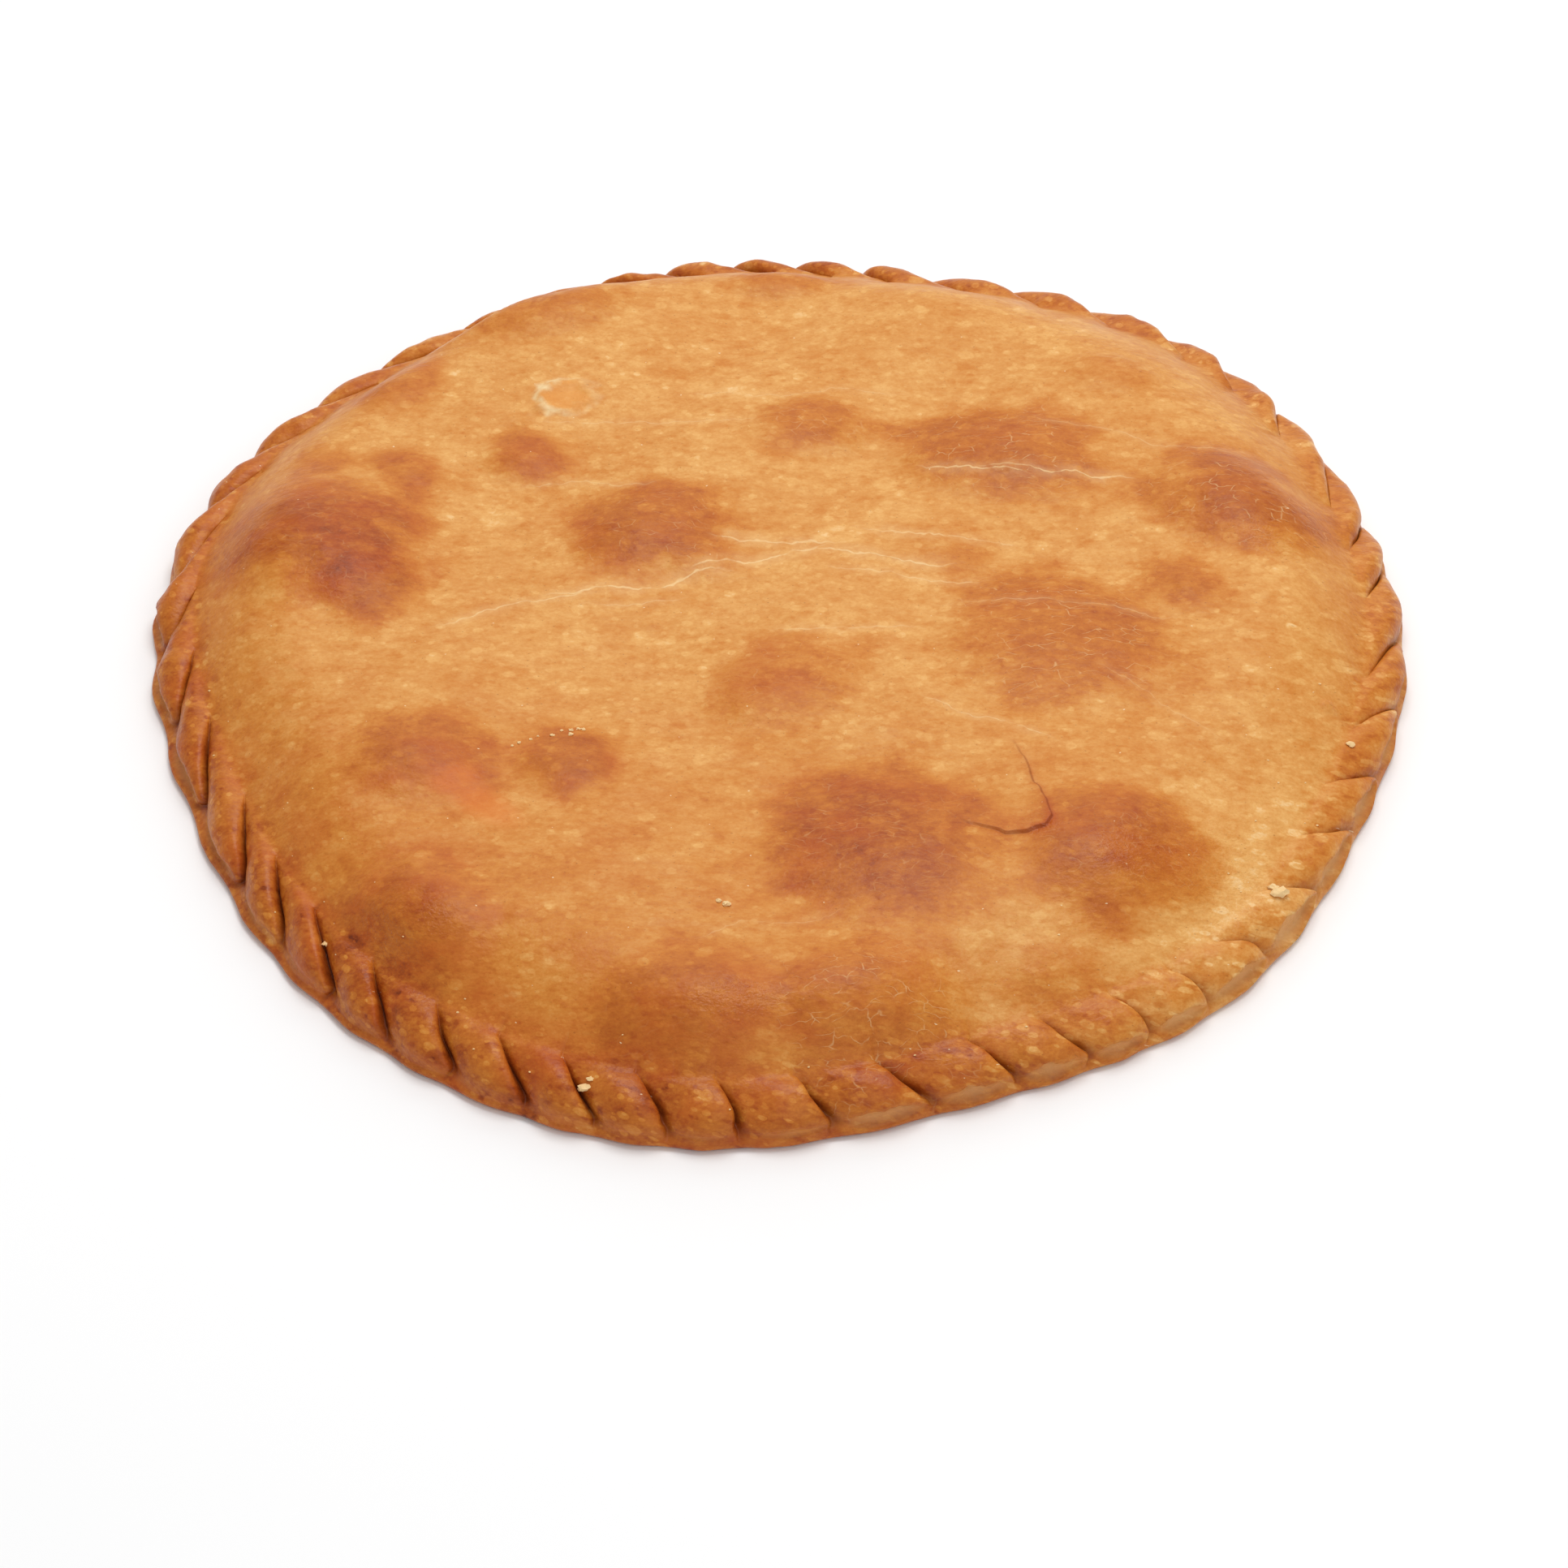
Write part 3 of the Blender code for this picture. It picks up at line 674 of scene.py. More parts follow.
def pie_parts():
    """Every vertex of the pie, its faces, and the creases' and the pockets' depth at each."""
    outside_in = [crimp_row(number) for number in reversed(range(len(STATIONS)))]
    rows = [points for points, _, _ in outside_in]
    creases = [crease for _, crease, _ in outside_in]
    pockets = [pocket for _, _, pocket in outside_in]
    for inward in COLLAR_ROWS_MM:
        points, crease = collar_row(inward)
        rows.append(points)
        creases.append(crease)
    skin, triangles = stitched_skin(rows[-1])
    clock = clock_of(COLUMNS, 0.0)
    under = []
    for inward, keep in UNDERSIDE_ROWS_MM:
        x, y = polar(clock, outline(clock) - inward * MM)
        under.append(np.stack([x, y, np.zeros(len(x))], axis=1)[::keep])
    points = np.concatenate(rows[:-1] + [skin] + under + [np.zeros((1, 3))])

    counts = [len(row) for row in rows[:-1]] + [len(skin)] + [len(row) for row in under]
    starts = np.cumsum([0] + counts)
    rings = [list(range(start, start + len(COLUMNS))) for start in starts[: len(rows)]]
    faces = []
    for outer, inner in zip(rings, rings[1:]):
        faces += [tuple(reversed(face)) for face in bridge(outer, inner)]
    faces += [tuple(int(corner) for corner in face) for face in triangles + starts[len(rows) - 1]]
    low = [list(range(start, start + len(row))) for start, row in zip(starts[len(rows):], under)]
    for outer, inner in zip([rings[0]] + low, low):
        faces += bridge(outer, inner)
    last, middle = low[-1], len(points) - 1
    faces += [(last[i], last[(i + 1) % len(last)], middle) for i in range(len(last))]
    crease, pocket = np.zeros(len(points)), np.zeros(len(points))
    crease[: len(COLUMNS) * len(creases)] = np.concatenate(creases)
    pocket[: len(COLUMNS) * len(pockets)] = np.concatenate(pockets)
    return points, faces, crease, pocket


POINTS, FACES, CREASE, POCKET = pie_parts()
print("vertices:", len(POINTS), " triangles:", sum(len(face) - 2 for face in FACES))

# %% [markdown]
# The crust browns by where it lies: the rim most, the crown of each blister, and the slope near
# the rim. Each vertex keeps that as a number, which the material turns into colour. A number that
# is worked out here follows the form exactly, and the fine grain is left to the material.

# %% How brown the crust is
PALE = 0.15
# Browning by clock angle: angle, at the crimp, on the slope beside it, and the slope's width in mm.
RIM_BROWNING = (
    (0, 0.36, 0.26, 12),
    (20, 0.34, 0.16, 14),
    (45, 0.28, 0.1, 20),
    (80, 0.52, 0.26, 14),
    (110, 0.6, 0.41, 20),
    (140, 0.6, 0.42, 24),
    (170, 0.58, 0.35, 18),
    (200, 0.52, 0.34, 14),
    (235, 0.4, 0.26, 10),
    (270, 0.52, 0.26, 10),
    (300, 0.44, 0.26, 10),
    (330, 0.34, 0.24, 10),
    (360, 0.36, 0.26, 12),
)
# The lid is browner towards the near side.
BROWN_FRONT = 0.13
FRONT_START, FRONT_END = 10 * MM, -110 * MM
# The light patches at the right front lower the browning by this much: partly paler dough, partly painted
# sheen.
LESS_BROWN_AND_SHEEN, UNDERSIDE_BROWN = 0.13, 0.5
# Soft patches: middle X and Y, half length, half width, in mm, and the clock angle. The stain is
# filling's oil, glaze is oil that stayed wet, and in pale ones the dough browned less. The large
# light patches at the right front are partly dough that browned less and partly painted sheen.
MARKS = {
    "stain": ((-75, -57, 8, 5, -20), (-68, -64, 13, 6, 40)),
    "paler_and_sheen": ((104, -80, 44, 28, 125), (60, -102, 26, 12, 0)),
    "glaze": (
        (100, -80, 22, 19, 0), (-87, -101, 17, 15, 0), (82, -80, 15, 12, 0), (-10, -125, 14, 9, 0),
        (118, 24, 12, 7, 40), (60, -73, 7, 5, 0),
    ),
    "pale": (
        (63.4, 24.2, 3.2, 2.2, 0), (25.6, 46.9, 3.4, 2.6, -20), (-66.8, 34.6, 5.6, 3.6, 0),
        (89.9, -56.5, 2.6, 2.4, 0), (95, -55, 2.2, 2, 0), (-28, 17, 2.6, 2, 0), (14, 27, 7, 4, 0),
    ),
}


def patches(x, y, name):
    """How strongly a point lies in the named soft patches, 0 to 1."""
    start, end = {"pale": (1.1, 0.7), "paler_and_sheen": (1.2, 0.2)}.get(name, (1.15, 0.25))
    return np.max([smooth_step(apart_from(x, y, *patch), start, end) for patch in MARKS[name]], axis=0)


def browning(points):
    """How brown and how crackled each vertex is."""
    x, y, z = points.T
    inward, clock = inside_seam(x, y)
    table = np.array(RIM_BROWNING)
    rim, slope, width = (np.interp(clock, table[:, 0], table[:, column]) for column in (1, 2, 3))
    on_lid = np.maximum(inward, 0.0) / MM
    lid = PALE + BROWN_FRONT * smooth_step(y, FRONT_START, FRONT_END)
    brown = lid + (slope - lid) * np.exp(-((on_lid / width) ** 1.5))
    brown = brown + (rim - slope) * smooth_step(inward, 5 * MM, -3 * MM)
    crackle = np.zeros(len(x))
    wobble = 0.22 * unevenness(x, y, 11 * MM, 51) + 0.14 * unevenness(x, y, 4.5 * MM, 52)
    for *place, _, brown_share, crackle_share in BLISTERS:
        inside = smooth_step(apart_from(x, y, *place) + wobble, 1.15, 0.4)
        brown = brown + (1.0 - brown) * brown_share * inside
        crackle = np.maximum(crackle, crackle_share * inside)
    # Paler dough and painted sheen at the right front.
    brown = brown - LESS_BROWN_AND_SHEEN * patches(x, y, "paler_and_sheen")
    brown[z < 0.05 * MM] = UNDERSIDE_BROWN
    return brown, crackle


BROWN, CRACKLE = browning(POINTS)
print("browning, low, middle, high:", np.round(np.percentile(BROWN, [2, 50, 98]), 2))

# %% [markdown]
# Every vertex keeps a few more numbers for the material: how deep it lies in a crease, a pocket or
# the crack, whether oil wetted it, and where the skin burst at the back left. There the dough is
# orange, inside a torn cream edge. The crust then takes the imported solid's place.

# %% Make the object
# Half widths of the crack and of the burnt glaze beside it, and the corner where glaze pooled.
CRACK_HALF_WIDTH, SCORCH_HALF_WIDTH = 0.3 * MM, 1.3 * MM
SCORCH_CORNER = (60.5 * MM, -73 * MM, 7 * MM)
# Oil reddens the browner dough most of all at the front left.
RUDDY_SIDE = (140, 95)
SCAR_EDGE_WIDTH = 0.13

crust = bpy.data.meshes.new("crust")
SHIFT = (POINTS.min(axis=0) + POINTS.max(axis=0)) / 2.0
SHIFT = SHIFT - np.array((CAD_BOX[0] + CAD_BOX[1]) / 2.0)
SHIFT[2] = 0.0
crust.from_pydata((POINTS - SHIFT).tolist(), [], FACES)
crust.validate()
crust.shade_smooth()
print("moved on to the packed model by, mm:", np.round(SHIFT / MM, 2))

X, Y = POINTS[:, 0], POINTS[:, 1]
CLOCK = np.degrees(np.arctan2(-Y, X))
distance, share = crack_distance(X, Y)
faded = np.sin(math.pi * np.clip(share, 0.02, 0.98)) ** 0.5
corner = np.hypot(X - SCORCH_CORNER[0], Y - SCORCH_CORNER[1]) / SCORCH_CORNER[2]
pooled = 0.35 + 0.65 * np.exp(-(corner**2))
scar = apart_from(X, Y, *FLAKE) + 0.3 * unevenness(X, Y, 2.2 * MM, 31)
torn_side = smooth_step(X, FLAKE[0] * MM + 3 * MM, FLAKE[0] * MM - 5 * MM)
VERTEX_NUMBERS = {
    "brown": BROWN,
    "crackle": CRACKLE,
    "crease": CREASE,
    "pocket": POCKET,
    "crack": np.exp(-((distance / CRACK_HALF_WIDTH) ** 2)) * faded,
    "scorch": np.exp(-((distance / SCORCH_HALF_WIDTH) ** 2)) * pooled * faded,
    "stain": patches(X, Y, "stain"),
    "glaze": patches(X, Y, "glaze"),
    "pale": patches(X, Y, "pale"),
    "rim": smooth_step(inside_seam(X, Y)[0], 7 * MM, -2 * MM),
    "ruddy": smooth_step(BROWN, 0.0, 0.6) * (0.35 + 0.65 * near(CLOCK, *RUDDY_SIDE)),
    "scar": smooth_step(scar, 0.95, 0.6),
    "scar_edge": np.exp(-(((scar - 1.0) / SCAR_EDGE_WIDTH) ** 2)) * (0.25 + 0.75 * torn_side),
}
for name, values in VERTEX_NUMBERS.items():
    crust.attributes.new(name, "FLOAT", "POINT").data.foreach_set("value", values.astype(np.float32))
print("numbers kept at each vertex:", len(VERTEX_NUMBERS))


def add_object(name, data):
    """Puts a mesh, a lamp or a camera into the scene."""
    thing = bpy.data.objects.new(name, data)
    bpy.context.scene.collection.objects.link(thing)
    return thing


pie = add_object("empanada_crust", crust)
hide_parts("empanada")
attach(pie, "root")

# %% [markdown]
# Colours are written as the hex values that a painter or a screen uses. Those are curved for the
# eye, and light adds up in linear values, so one function straightens them.

# %% Colour and node helpers
CREAM = "#efcb92"


def linear(hex_colour):
    """An sRGB hex colour as linear red, green, blue and alpha."""
    shares = [int(hex_colour[i : i + 2], 16) / 255.0 for i in (1, 3, 5)]
    return tuple(s / 12.92 if s <= 0.04045 else ((s + 0.055) / 1.055) ** 2.4 for s in shares) + (1.0,)


# A range with soft ends.
SOFT = {"interpolation_type": "SMOOTHSTEP"}


def add_node(tree, kind, inputs, output=0, **settings):
    """Adds a node with its settings, sets or links its inputs, and gives one of its outputs."""
    kind, *operation = kind.split()
    node = tree.nodes.new("ShaderNode" + kind)
    for name in operation:
        node.operation = name
    for name, value in settings.items():
        setattr(node, name, value)
    for name, value in inputs.items():
        if isinstance(value, bpy.types.NodeSocket):
            tree.links.new(value, node.inputs[name])
        else:
            node.inputs[name].default_value = value
    return node.outputs[output]


def plain_material(name, hex_colour, roughness):
    """A material of one colour."""
    material = bpy.data.materials.new(name)
    material.use_nodes = True
    shader = material.node_tree.nodes["Principled BSDF"]
    shader.inputs["Base Color"].default_value = linear(hex_colour)
    shader.inputs["Roughness"].default_value = roughness
    return material


print("cream, red to blue:", [round(value, 3) for value in linear(CREAM)[:3]])

# %% [markdown]
# The crust is baked wheat dough, brushed with oil. Sugar and protein in it brown from cream over
# amber to mahogany, so one ramp of those colours carries the whole pie, and most patterns only
# move the point on the ramp. The eye reads the dough as real by its grain: clouds as wide as a
# thumb, blotches the size of a lentil, and fine mottling under a millimetre.

# %% The crust's material and its browning
BAKED = (
    (0.00, "#ecc084"),
    (0.12, "#e2a960"),
    (0.26, "#d6944a"),
    (0.39, "#cd8234"),
    (0.49, "#c57529"),
    (0.58, "#bc6a23"),
    (0.67, "#b3601e"),
    (0.77, "#a65018"),
    (0.87, "#964413"),
    (0.96, "#81370f"),
    (1.00, "#6e2c0c"),
)
# The ramp's position for browning 0, and how far it moves for browning 1.
RAMP_START, RAMP_REACH = 0.12, 0.88
# Length along X, width along Y, in mm, detail, and how far it moves the browning.
GRAINS = ((30, 18, 2, 0.05), (9, 5, 3, 0.09), (2.6, 1.6, 3, 0.07), (0.8, 0.6, 2, 0.05))
# How much stronger the grain is on the rim.
RIM_MOTTLE = 0.45
# How much browner the creases are: partly sugar that burnt there, partly painted shade.
CREASE_BURN_AND_SHADE = 0.2

baked_crust = bpy.data.materials.new("baked_wheat_crust")
baked_crust.use_nodes = True
crust.materials.append(baked_crust)
crust_tree = baked_crust.node_tree
crust_shader = crust_tree.nodes["Principled BSDF"]
# new adds a node to the crust, place is the spot on the pie, and kept holds each vertex's numbers.
new = functools.partial(add_node, crust_tree)
place = new("TexCoord", {}, "Object")
kept = {name: new("Attribute", {}, "Fac", attribute_name=name) for name in VERTEX_NUMBERS}


def sized(length_mm, width_mm, seed, source=place):
    """The place on the pie, counted in pieces of this length and width."""
    return new("Mapping", {
        "Vector": source,
        "Location": (seed * 1.7, seed * 0.9, seed * 0.3),
        "Scale": (1.0 / (length_mm * MM), 1.0 / (width_mm * MM), 1.0 / (width_mm * MM)),
    })


def grain(length_mm, width_mm, detail, seed):
    """Soft noise of a real size, mostly from 0.3 to 0.7."""
    return new("TexNoise", {
        "Vector": sized(length_mm, width_mm, seed), "Scale": 1, "Detail": detail, "Roughness": 0.55,
    })


clouds = None
for number, (length_mm, width_mm, detail, reach) in enumerate(GRAINS):
    layer = new("MapRange", {
        0: grain(length_mm, width_mm, detail, number + 1), 1: 0.3, 2: 0.7, 3: -reach, 4: reach,
    })
    clouds = new("Math ADD", {0: clouds, 1: layer}) if clouds else layer
strength = new("Math MULTIPLY_ADD", {0: kept["rim"], 1: RIM_MOTTLE, 2: 1})
brown = new("Math MULTIPLY_ADD", {0: clouds, 1: strength, 2: kept["brown"]})
# The creases are browner: partly burnt sugar, partly painted shade.
brown = new("Math MULTIPLY_ADD", {0: kept["crease"], 1: CREASE_BURN_AND_SHADE, 2: brown})
print("grains of the browning:", len(GRAINS))

# %% [markdown]
# Gas under the skin leaves round spots: pale where the skin lifted off and stayed cooler, orange
# where oil came through, and brown freckles of bran. A Voronoi texture gives each cell one point
# and one random number, so a share of the cells can carry a spot of a random size.

# %% Spots in the dough
# Cell in mm, share of the cells, largest radius in cells, softness of the edge, added browning.
SPOTS = (
    (12, 0.45, 0.44, 0.9, 0.05),
    (6, 0.42, 0.42, 0.7, 0.06),
    (3, 0.35, 0.42, 0.7, 0.07),
    (8.5, 0.34, 0.24, 0.22, -0.09),
    (4.6, 0.42, 0.3, 0.28, -0.09),
    (2.6, 0.3, 0.34, 0.4, -0.08),
)
# Spots are this much stronger on the rim, where the dough is brownest.
RIM_SPOTS = 1.2
# The same for bran freckles and for pale specks, with a strength and a colour. The pale specks are
# partly painted glints of the oiled skin and partly flakes of dry flour.
FRECKLES_AND_GLINTS = ((2.4, 0.4, 0.09, 0.5, 0.4, "#8a4f22"), (7, 0.15, 0.035, 0.5, 0.7, "#f0d9b0"))
# Oil and heat turn some of the brown dough a foxy red.
RUDDY, RUDDY_STRENGTH = "#b84f18", 0.4
CRUMPLED = 1.8 * MM
# The pattern is flat, so it moves on with height too, or a spot would streak down a side face.
MOVED_ON = (0.9, 0.7, 0.0)
PALE_SPOT = -0.14


def bent(size_mm, detail, seed, reach, source):
    """A place that noise of this size pushes off by up to half the reach."""
    push = new("TexNoise", {"Vector": sized(size_mm, size_mm, seed), "Scale": 1, **detail}, "Color")
    push = new("VectorMath ADD", {0: push, 1: (-0.5, -0.5, -0.5)})
    return new("VectorMath MULTIPLY_ADD", {0: push, 1: (reach,) * 3, 2: source})


height = new("SeparateXYZ", {0: place}, 2)
height = new("CombineXYZ", {0: height, 1: height})
side_place = new("VectorMath MULTIPLY_ADD", {0: height, 1: MOVED_ON, 2: place})
crumpled_place = bent(4, {"Detail": 2}, 10, CRUMPLED, side_place)


def spots(cell_mm, share, radius, softness, seed):
    """Roundish spots of random size in a share of the cells."""
    cells = sized(cell_mm * 1.25, cell_mm, seed, crumpled_place)
    distance = new("TexVoronoi", {"Vector": cells, "Scale": 1}, "Distance", voronoi_dimensions="2D")
    chance = new("SeparateColor", {0: distance.node.outputs["Color"]})
    reach = new("MapRange", {0: chance.node.outputs[1], 3: radius * 0.45, 4: radius})
    inside = new("MapRange", {
        0: new("Math DIVIDE", {0: distance, 1: reach}), 1: 1, 2: 1.0 - softness,
    }, **SOFT)
    shown = new("Math LESS_THAN", {0: chance, 1: share})
    return new("Math MULTIPLY", {0: inside, 1: shown})


stronger = new("Math MULTIPLY_ADD", {0: kept["rim"], 1: RIM_SPOTS, 2: 1})
for number, (cell_mm, share, radius, softness, shift) in enumerate(SPOTS):
    spotted = spots(cell_mm, share, radius, softness, number + 11)
    spotted = new("Math MULTIPLY", {0: spotted, 1: stronger})
    brown = new("Math MULTIPLY_ADD", {0: spotted, 1: shift, 2: brown})
brown = new("Math MULTIPLY_ADD", {0: kept["pale"], 1: PALE_SPOT, 2: brown})
baked = new("Math MULTIPLY_ADD", {0: brown, 1: RAMP_REACH, 2: RAMP_START})
colour = new("ValToRGB", {0: baked})
steps = colour.node.color_ramp.elements
for position, _ in BAKED[1:-1]:
    steps.new(position)
for step, (position, hex_colour) in zip(steps, BAKED):
    step.position, step.color = position, linear(hex_colour)


def laid_over(under, cover, strength, hex_colour):
    """Lays a colour over another, where and as strongly as the cover says."""
    share = new("Math MULTIPLY", {0: cover, 1: strength})
    return new("Mix", {0: share, 6: under, 7: linear(hex_colour)}, 2, data_type="RGBA")


reddened = grain(16, 11, 3, 27)
reddened = new("MapRange", {0: reddened, 1: 0.42, 2: 0.68}, **SOFT)
reddened = new("Math MULTIPLY", {0: reddened, 1: kept["ruddy"]})
colour = laid_over(colour, reddened, RUDDY_STRENGTH, RUDDY)
# Bran freckles, then pale specks that are partly painted glints and partly dry flour.
for number, (cell_mm, share, radius, softness, strength, hex_colour) in enumerate(FRECKLES_AND_GLINTS):
    flecks = spots(cell_mm, share, radius, softness, number + 21)
    colour = laid_over(colour, flecks, strength, hex_colour)
print("kinds of spot:", len(SPOTS) + len(FRECKLES_AND_GLINTS))

# %% [markdown]
# Where steam stretched the half-baked skin, it tore in thin cream lines. The long ones run across
# the lid between the blisters, so each is a straight band that noise bends and breaks. Over the
# blisters the skin crazed into a fine net, which is the border between Voronoi cells.

# %% Stretch marks and crackle
# Ends of each long mark in mm, its strength, and its half width in mm.
STRETCH_MARKS = (
    ((-84, -4), (-40, 12), 0.8, 0.45),
    ((-58, 8), (-10, 15), 1, 0.5),
    ((-24, 14), (12, 25), 1, 0.6),
    ((-18, 27), (14, 25), 0.9, 0.5),
    ((6, 24), (44, 18), 1, 0.5),
    ((10, 17), (52, 12), 0.7, 0.4),
    ((18, 30), (60, 26), 0.8, 0.45),
    ((-50, 4), (-24, 7), 0.6, 0.35),
    ((-4, -5), (34, -6), 0.6, 0.35),
    ((-60, 70), (-4, 67), 0.6, 0.35),
    ((-26, 79), (30, 80), 0.5, 0.35),
    ((34, 53), (62, 46), 1, 0.5),
    ((48, 50), (88, 46), 1, 0.45),
    ((-62, 48), (-30, 44), 0.6, 0.35),
    ((60, 70), (120, 52), 0.5, 0.35),
    ((40, 4), (96, -2), 0.5, 0.35),
    ((-20, -106), (14, -98), 0.4, 0.3),
    ((34, -30), (66, -44), 0.8, 0.35),
    ((76, -20), (104, -40), 0.4, 0.3),
)
# A paler band lies along each mark: its width in marks' widths, and its strength.
BAND_WIDTH, BAND_STRENGTH = 7.0, 0.28
TORN_STRENGTH = 0.75
# Cells of the net in mm, and the width in cells and the strength of its lines.
NET_CELL, NET_LINE, NET_STRENGTH = (5.6, 1.9), 0.055, 0.6
bent_place = bent(24, {"Detail": 4, "Roughness": 0.6}, 31, 14 * MM, place)
torn = new("Value", {})
torn.default_value = 0.0


def stretch_mark(start, end, strength, half_width):
    """One long mark between two places on the pie, faded at its ends."""
    middle = [(a + b) / 2 * MM for a, b in zip(start, end)]
    half_length = math.dist(start, end) / 2.0
    turn = math.atan2(end[1] - start[1], end[0] - start[0])
    along = new("SeparateXYZ", {0: new("Mapping", {
        "Vector": bent_place,
        "Location": (middle[0] - SHIFT[0], middle[1] - SHIFT[1], 0.0),
        "Rotation": (0.0, 0.0, turn),
        "Scale": (half_length * MM, half_width * MM, 1.0),
    }, vector_type="TEXTURE")})
    off = new("Math ABSOLUTE", {0: along.node.outputs[1]})
    line = new("MapRange", {0: off, 1: 1, 2: 0, 4: strength}, **SOFT)
    strength = strength * BAND_STRENGTH
    band = new("MapRange", {0: off, 1: BAND_WIDTH, 2: 0, 4: strength}, **SOFT)
    line = new("Math MAXIMUM", {0: line, 1: band})
    ends = new("Math ABSOLUTE", {0: along})
    ends = new("MapRange", {0: ends, 1: 1.1, 2: 0.6}, **SOFT)
    return new("Math MULTIPLY", {0: line, 1: ends})


for mark in STRETCH_MARKS:
    torn = new("Math MAXIMUM", {0: torn, 1: stretch_mark(*mark)})
broken = grain(5, 4, 3, 32)
broken = new("MapRange", {0: broken, 1: 0.34, 2: 0.52, 3: 0.3}, **SOFT)
torn = new("Math MULTIPLY", {0: torn, 1: broken})
cells = [1.0 / (NET_CELL[0] * MM)] + [1.0 / (NET_CELL[1] * MM)] * 2
cells = new("VectorMath MULTIPLY", {0: bent_place, 1: cells})
net = new("TexVoronoi", {"Vector": cells, "Scale": 1}, "Distance",
          feature="DISTANCE_TO_EDGE", voronoi_dimensions="2D")
net = new("MapRange", {0: net, 1: NET_LINE, 2: 0, 4: NET_STRENGTH}, **SOFT)
patchy = new("MapRange", {0: grain(6, 3, 4, 33), 1: 0.44, 2: 0.62}, **SOFT)
crackle = new("Math MULTIPLY", {0: net, 1: patchy})
crackle = new("Math MULTIPLY", {0: crackle, 1: kept["crackle"]})
torn = new("Math MAXIMUM", {0: torn, 1: crackle})
colour = laid_over(colour, torn, TORN_STRENGTH, CREAM)
print("long stretch marks:", len(STRETCH_MARKS))

# %% [markdown]
# Last come the marks with a cause of their own: an orange oil stain, the paler dough in the pockets
# under the folds, where less heat reached, and the dark lines of the creases and the crack. The
# creases' dark is partly sugar that burnt there and partly painted shade, near black in their depth.
# The gloss is that of thin oil on dough: satin all over, brighter where the oil pooled.

# %% Stains, creases, gloss and grain
# Which number of the vertices lays a colour over the crust, how strongly, and the colour.
COVERS = (
    ("stain", 0.42, "#e0772c"),
    ("scar", 0.55, "#de9140"),
    ("scar_edge", 0.8, "#f0d7a4"),
    ("pocket", 0.8, "#dca367"),
    ("scorch", 0.65, "#b24a16"),
    ("crack", 0.7, "#82300c"),
    # The creases darken twice, red-brown then near black: partly burnt sugar, partly painted shade in
    # their depth.
    ("crease", 0.4, "#7a2d0e"),
    ("crease", 0.45, "#341206"),
)
DOUGH_SHINE = 0.22
# Roughness of plain dough, then what brownness, oil and the rim's varnish add.
SATIN, BROWN_GLOSS, OIL_GLOSS, RIM_GLOSS = 0.46, -0.10, -0.16, -0.06
LEATHER_HEIGHT = 0.16 * MM

for name, strength, hex_colour in COVERS:
    colour = laid_over(colour, kept[name], strength, hex_colour)
crust_tree.links.new(colour, crust_shader.inputs["Base Color"])
crust_shader.inputs["Specular IOR Level"].default_value = DOUGH_SHINE

gloss = new("Math MULTIPLY_ADD", {0: brown, 1: BROWN_GLOSS, 2: SATIN})
gloss = new("Math MULTIPLY_ADD", {0: kept["glaze"], 1: OIL_GLOSS, 2: gloss})
gloss = new("Math MULTIPLY_ADD", {0: kept["rim"], 1: RIM_GLOSS, 2: gloss})
uneven = new("MapRange", {0: grain(2.2, 1.6, 3, 41), 1: 0.3, 2: 0.7, 3: -0.05, 4: 0.05})
gloss = new("Math ADD", {0: gloss, 1: uneven})
crust_tree.links.new(new("Clamp", {0: gloss, 1: 0.28, 2: 0.7}), crust_shader.inputs["Roughness"])

# Wrinkles of three sizes, the finest strongest where oil glazed the skin, and raised torn edges.
leather = grain(1.4, 1, 3, 42)
leather = new("Math MULTIPLY_ADD", {0: grain(4.5, 2.6, 2, 43), 1: 1.3, 2: leather})
wrinkled = new("Math MULTIPLY_ADD", {0: kept["glaze"], 1: 1.2, 2: 0.3})
leather = new("Math MULTIPLY_ADD", {0: grain(0.8, 0.6, 2, 44), 1: wrinkled, 2: leather})
leather = new("Math MULTIPLY_ADD", {0: torn, 1: 0.4, 2: leather})
bumps = new("Bump", {"Strength": 1, "Distance": LEATHER_HEIGHT, "Height": leather})
crust_tree.links.new(bumps, crust_shader.inputs["Normal"])
print("nodes of the crust:", len(crust_tree.nodes))

# %% [markdown]
# A few crumbs of dry dough stayed on the crust after it was handled. Each is a small ball pushed
# out of shape, half sunk in the skin, and all of them together are one mesh.

# %% Crumbs
# X, Y and radius in mm of the crumbs that catch the eye.
CRUMBS = (
    (115.4, -81.5, 1.6), (113.8, -79.6, 1), (-11.6, -96, 0.8), (-13.2, -95, 0.6),
    (-48.2, -42.6, 0.5), (-62, -45.4, 0.3), (-60.4, -44.2, 0.4), (-57.6, -43.9, 0.35),
    (-55.8, -42.7, 0.3), (-53.4, -42.4, 0.45), (-50.6, -41, 0.35), (-48.9, -40.7, 0.5),
    (-47.4, -39.7, 0.4), (-45.9, -39.4, 0.45), (-43.4, -139.5, 1.2), (-42.3, -138.2, 0.7),
    (-103.5, -95, 0.7), (134, -33, 0.9),
)
STRAY_CRUMBS, CRUMB_SEED = 30, 14
# A crumb sinks in by a share of its radius, and none lies lower than this.
CRUMB_SINK, LOWEST_CRUMB = 0.35, 5 * MM
CRUMB_STRETCH = (1.3, 0.9, 0.7)


def crumb_places():
    """The crumbs in sight, then small stray ones on the front of the rim."""
    rng = random.Random(CRUMB_SEED)
    strays = []
    for _ in range(STRAY_CRUMBS):
        turn = rng.uniform(5.0, 175.0)
        x, y = polar(np.array([turn]), outline(np.array([turn])) - rng.uniform(2.0, 26.0) * MM)
        strays.append((x[0] / MM, y[0] / MM, rng.uniform(0.15, 0.3)))
    return CRUMBS + tuple(strays)


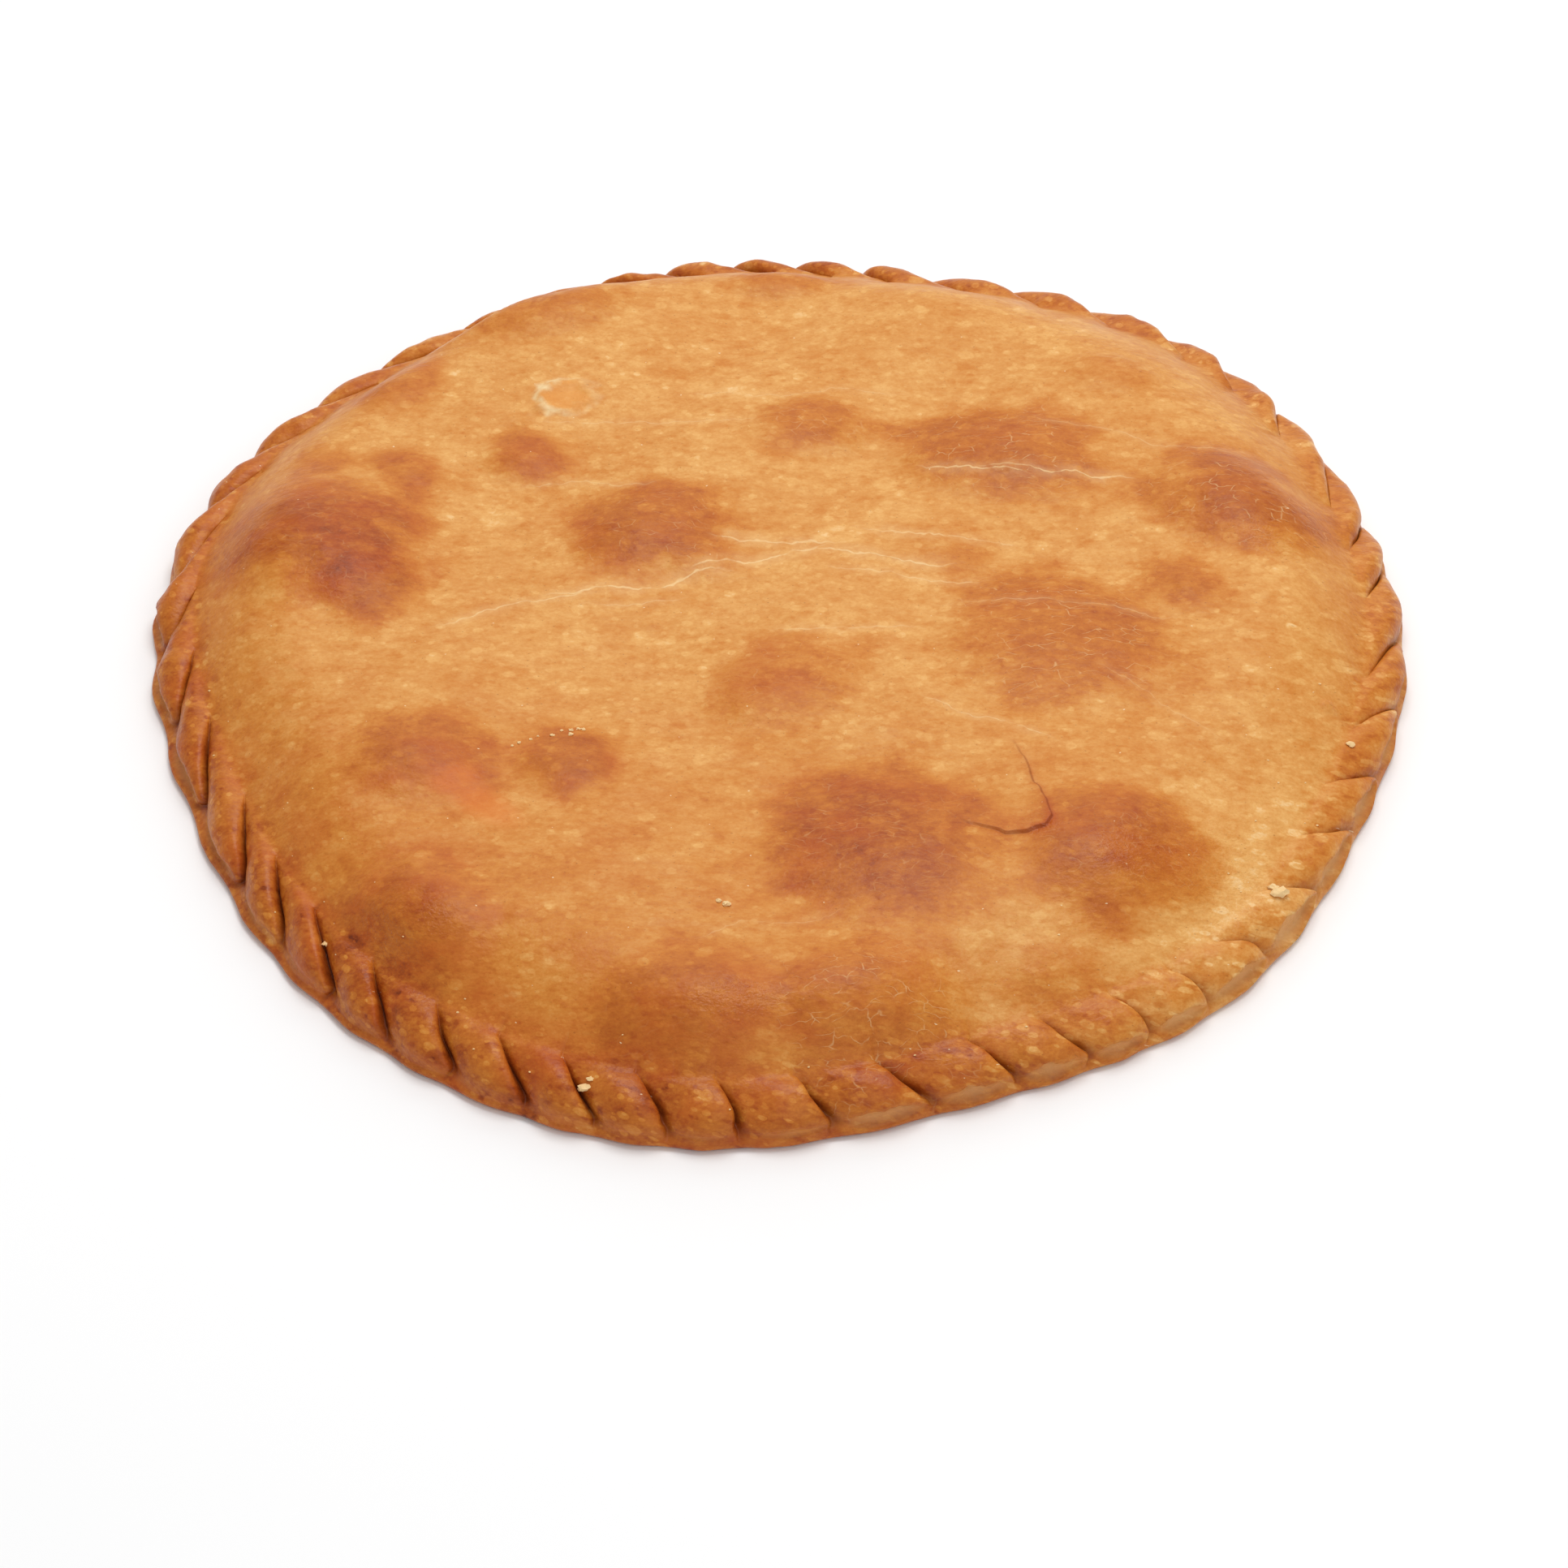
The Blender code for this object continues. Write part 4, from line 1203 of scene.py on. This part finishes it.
ball = bmesh.new()
bmesh.ops.create_icosphere(ball, subdivisions=2, radius=1.0)
BALL_POINTS = np.array([vertex.co[:] for vertex in ball.verts])
BALL_FACES = np.array([[vertex.index for vertex in face.verts] for face in ball.faces])
ball.free()
TOP_POINTS = POINTS[POINTS[:, 2] > LOWEST_CRUMB]
crumb_points, crumb_faces = [], []
for number, (x, y, radius) in enumerate(crumb_places()):
    nearest = TOP_POINTS[np.hypot(TOP_POINTS[:, 0] - x * MM, TOP_POINTS[:, 1] - y * MM).argmin()]
    dents = np.random.default_rng(number).uniform(0.6, 1.25, (len(BALL_POINTS), 1))
    shape = BALL_POINTS * dents * (radius * MM) * CRUMB_STRETCH
    crumb_faces.append(BALL_FACES + len(BALL_POINTS) * number)
    lift = (CRUMB_STRETCH[2] - CRUMB_SINK) * radius * MM
    crumb_points.append(shape + nearest + (0.0, 0.0, lift) - SHIFT)
crumb_mesh = bpy.data.meshes.new("crumbs")
crumb_mesh.from_pydata(np.concatenate(crumb_points).tolist(), [], np.concatenate(crumb_faces).tolist())
# Crumbs are bare dough that dried in the oven: pale and matt.
crumb_mesh.materials.append(plain_material("dry_dough_crumb", "#ecc88e", 0.7))
crumbs = add_object("crumbs", crumb_mesh)
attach(crumbs, "root")
print("crumbs:", len(crumb_points), " triangles:", len(crumb_mesh.polygons))

# %% [markdown]
# The pie lies on a plain white table under soft studio light: a large lamp overhead and a little
# behind, which leaves a faint shadow in front, and pale surroundings that fill the rest.

# %% Table, light and camera
TABLE_HALF_SIDE = 6.0
PIE_TO_CAMERA = 1.4
CAMERA_RISE = 45.0
AIM = (1.08 * MM, -34.1 * MM, 0.0)
SENSOR = 36.0
PHOTO_SIDE = 1932
PIXELS_PER_METRE = 5210.0


def plain_floor():
    """A plain white table top, just under the pie."""
    mesh = bpy.data.meshes.new("table")
    corners = [(-1, -1, 0), (1, -1, 0), (1, 1, 0), (-1, 1, 0)]
    mesh.from_pydata([Vector(corner) * TABLE_HALF_SIDE for corner in corners], [], [(0, 1, 2, 3)])
    table = add_object("table", mesh)
    table.location.z = -0.05 * MM
    mesh.materials.append(plain_material("white_table", "#f8f8f8", 0.9))


def lamp(name, place, width, height, watts):
    """A soft lamp of this width and height that faces the pie."""
    light = bpy.data.lights.new(name, "AREA")
    light.shape = "RECTANGLE"
    light.size, light.size_y, light.energy = width, height, watts
    holder = add_object(name, light)
    holder.location = place
    holder.rotation_euler = (-Vector(place)).to_track_quat("-Z", "Y").to_euler()


def surroundings():
    """An even, pale room, and colours shown as they are."""
    world = bpy.data.worlds.new("pale_room")
    world.use_nodes = True
    world.node_tree.nodes["Background"].inputs["Color"].default_value = (1.0, 1.0, 1.0, 1.0)
    world.node_tree.nodes["Background"].inputs["Strength"].default_value = 0.48
    bpy.context.scene.world = world
    bpy.context.scene.view_settings.view_transform = "Standard"


def camera():
    """The photo's view: straight from the front, half way up."""
    rise = math.radians(CAMERA_RISE)
    aim = Vector(AIM) - Vector(SHIFT)
    lens = bpy.data.cameras.new("camera")
    lens.lens = PIXELS_PER_METRE * PIE_TO_CAMERA * SENSOR / PHOTO_SIDE
    lens.sensor_width = SENSOR
    lens.clip_end = 50.0
    holder = add_object("camera", lens)
    holder.location = aim + PIE_TO_CAMERA * Vector((0.0, -math.cos(rise), math.sin(rise)))
    holder.rotation_euler = (math.radians(90.0) - rise, 0.0, 0.0)
    bpy.context.scene.camera = holder


plain_floor()
surroundings()
lamp("overhead", (0.15, 0.3, 1.45), 1.0, 0.7, 11.6)
lamp("front_fill", (0.5, -1.3, 1.3), 1.4, 1.4, 5.2)
lamp("backdrop", (0.1, 1.6, 1.2), 2.4, 1.4, 8.7)
camera()
print("lens, mm:", round(bpy.context.scene.camera.data.lens, 1))
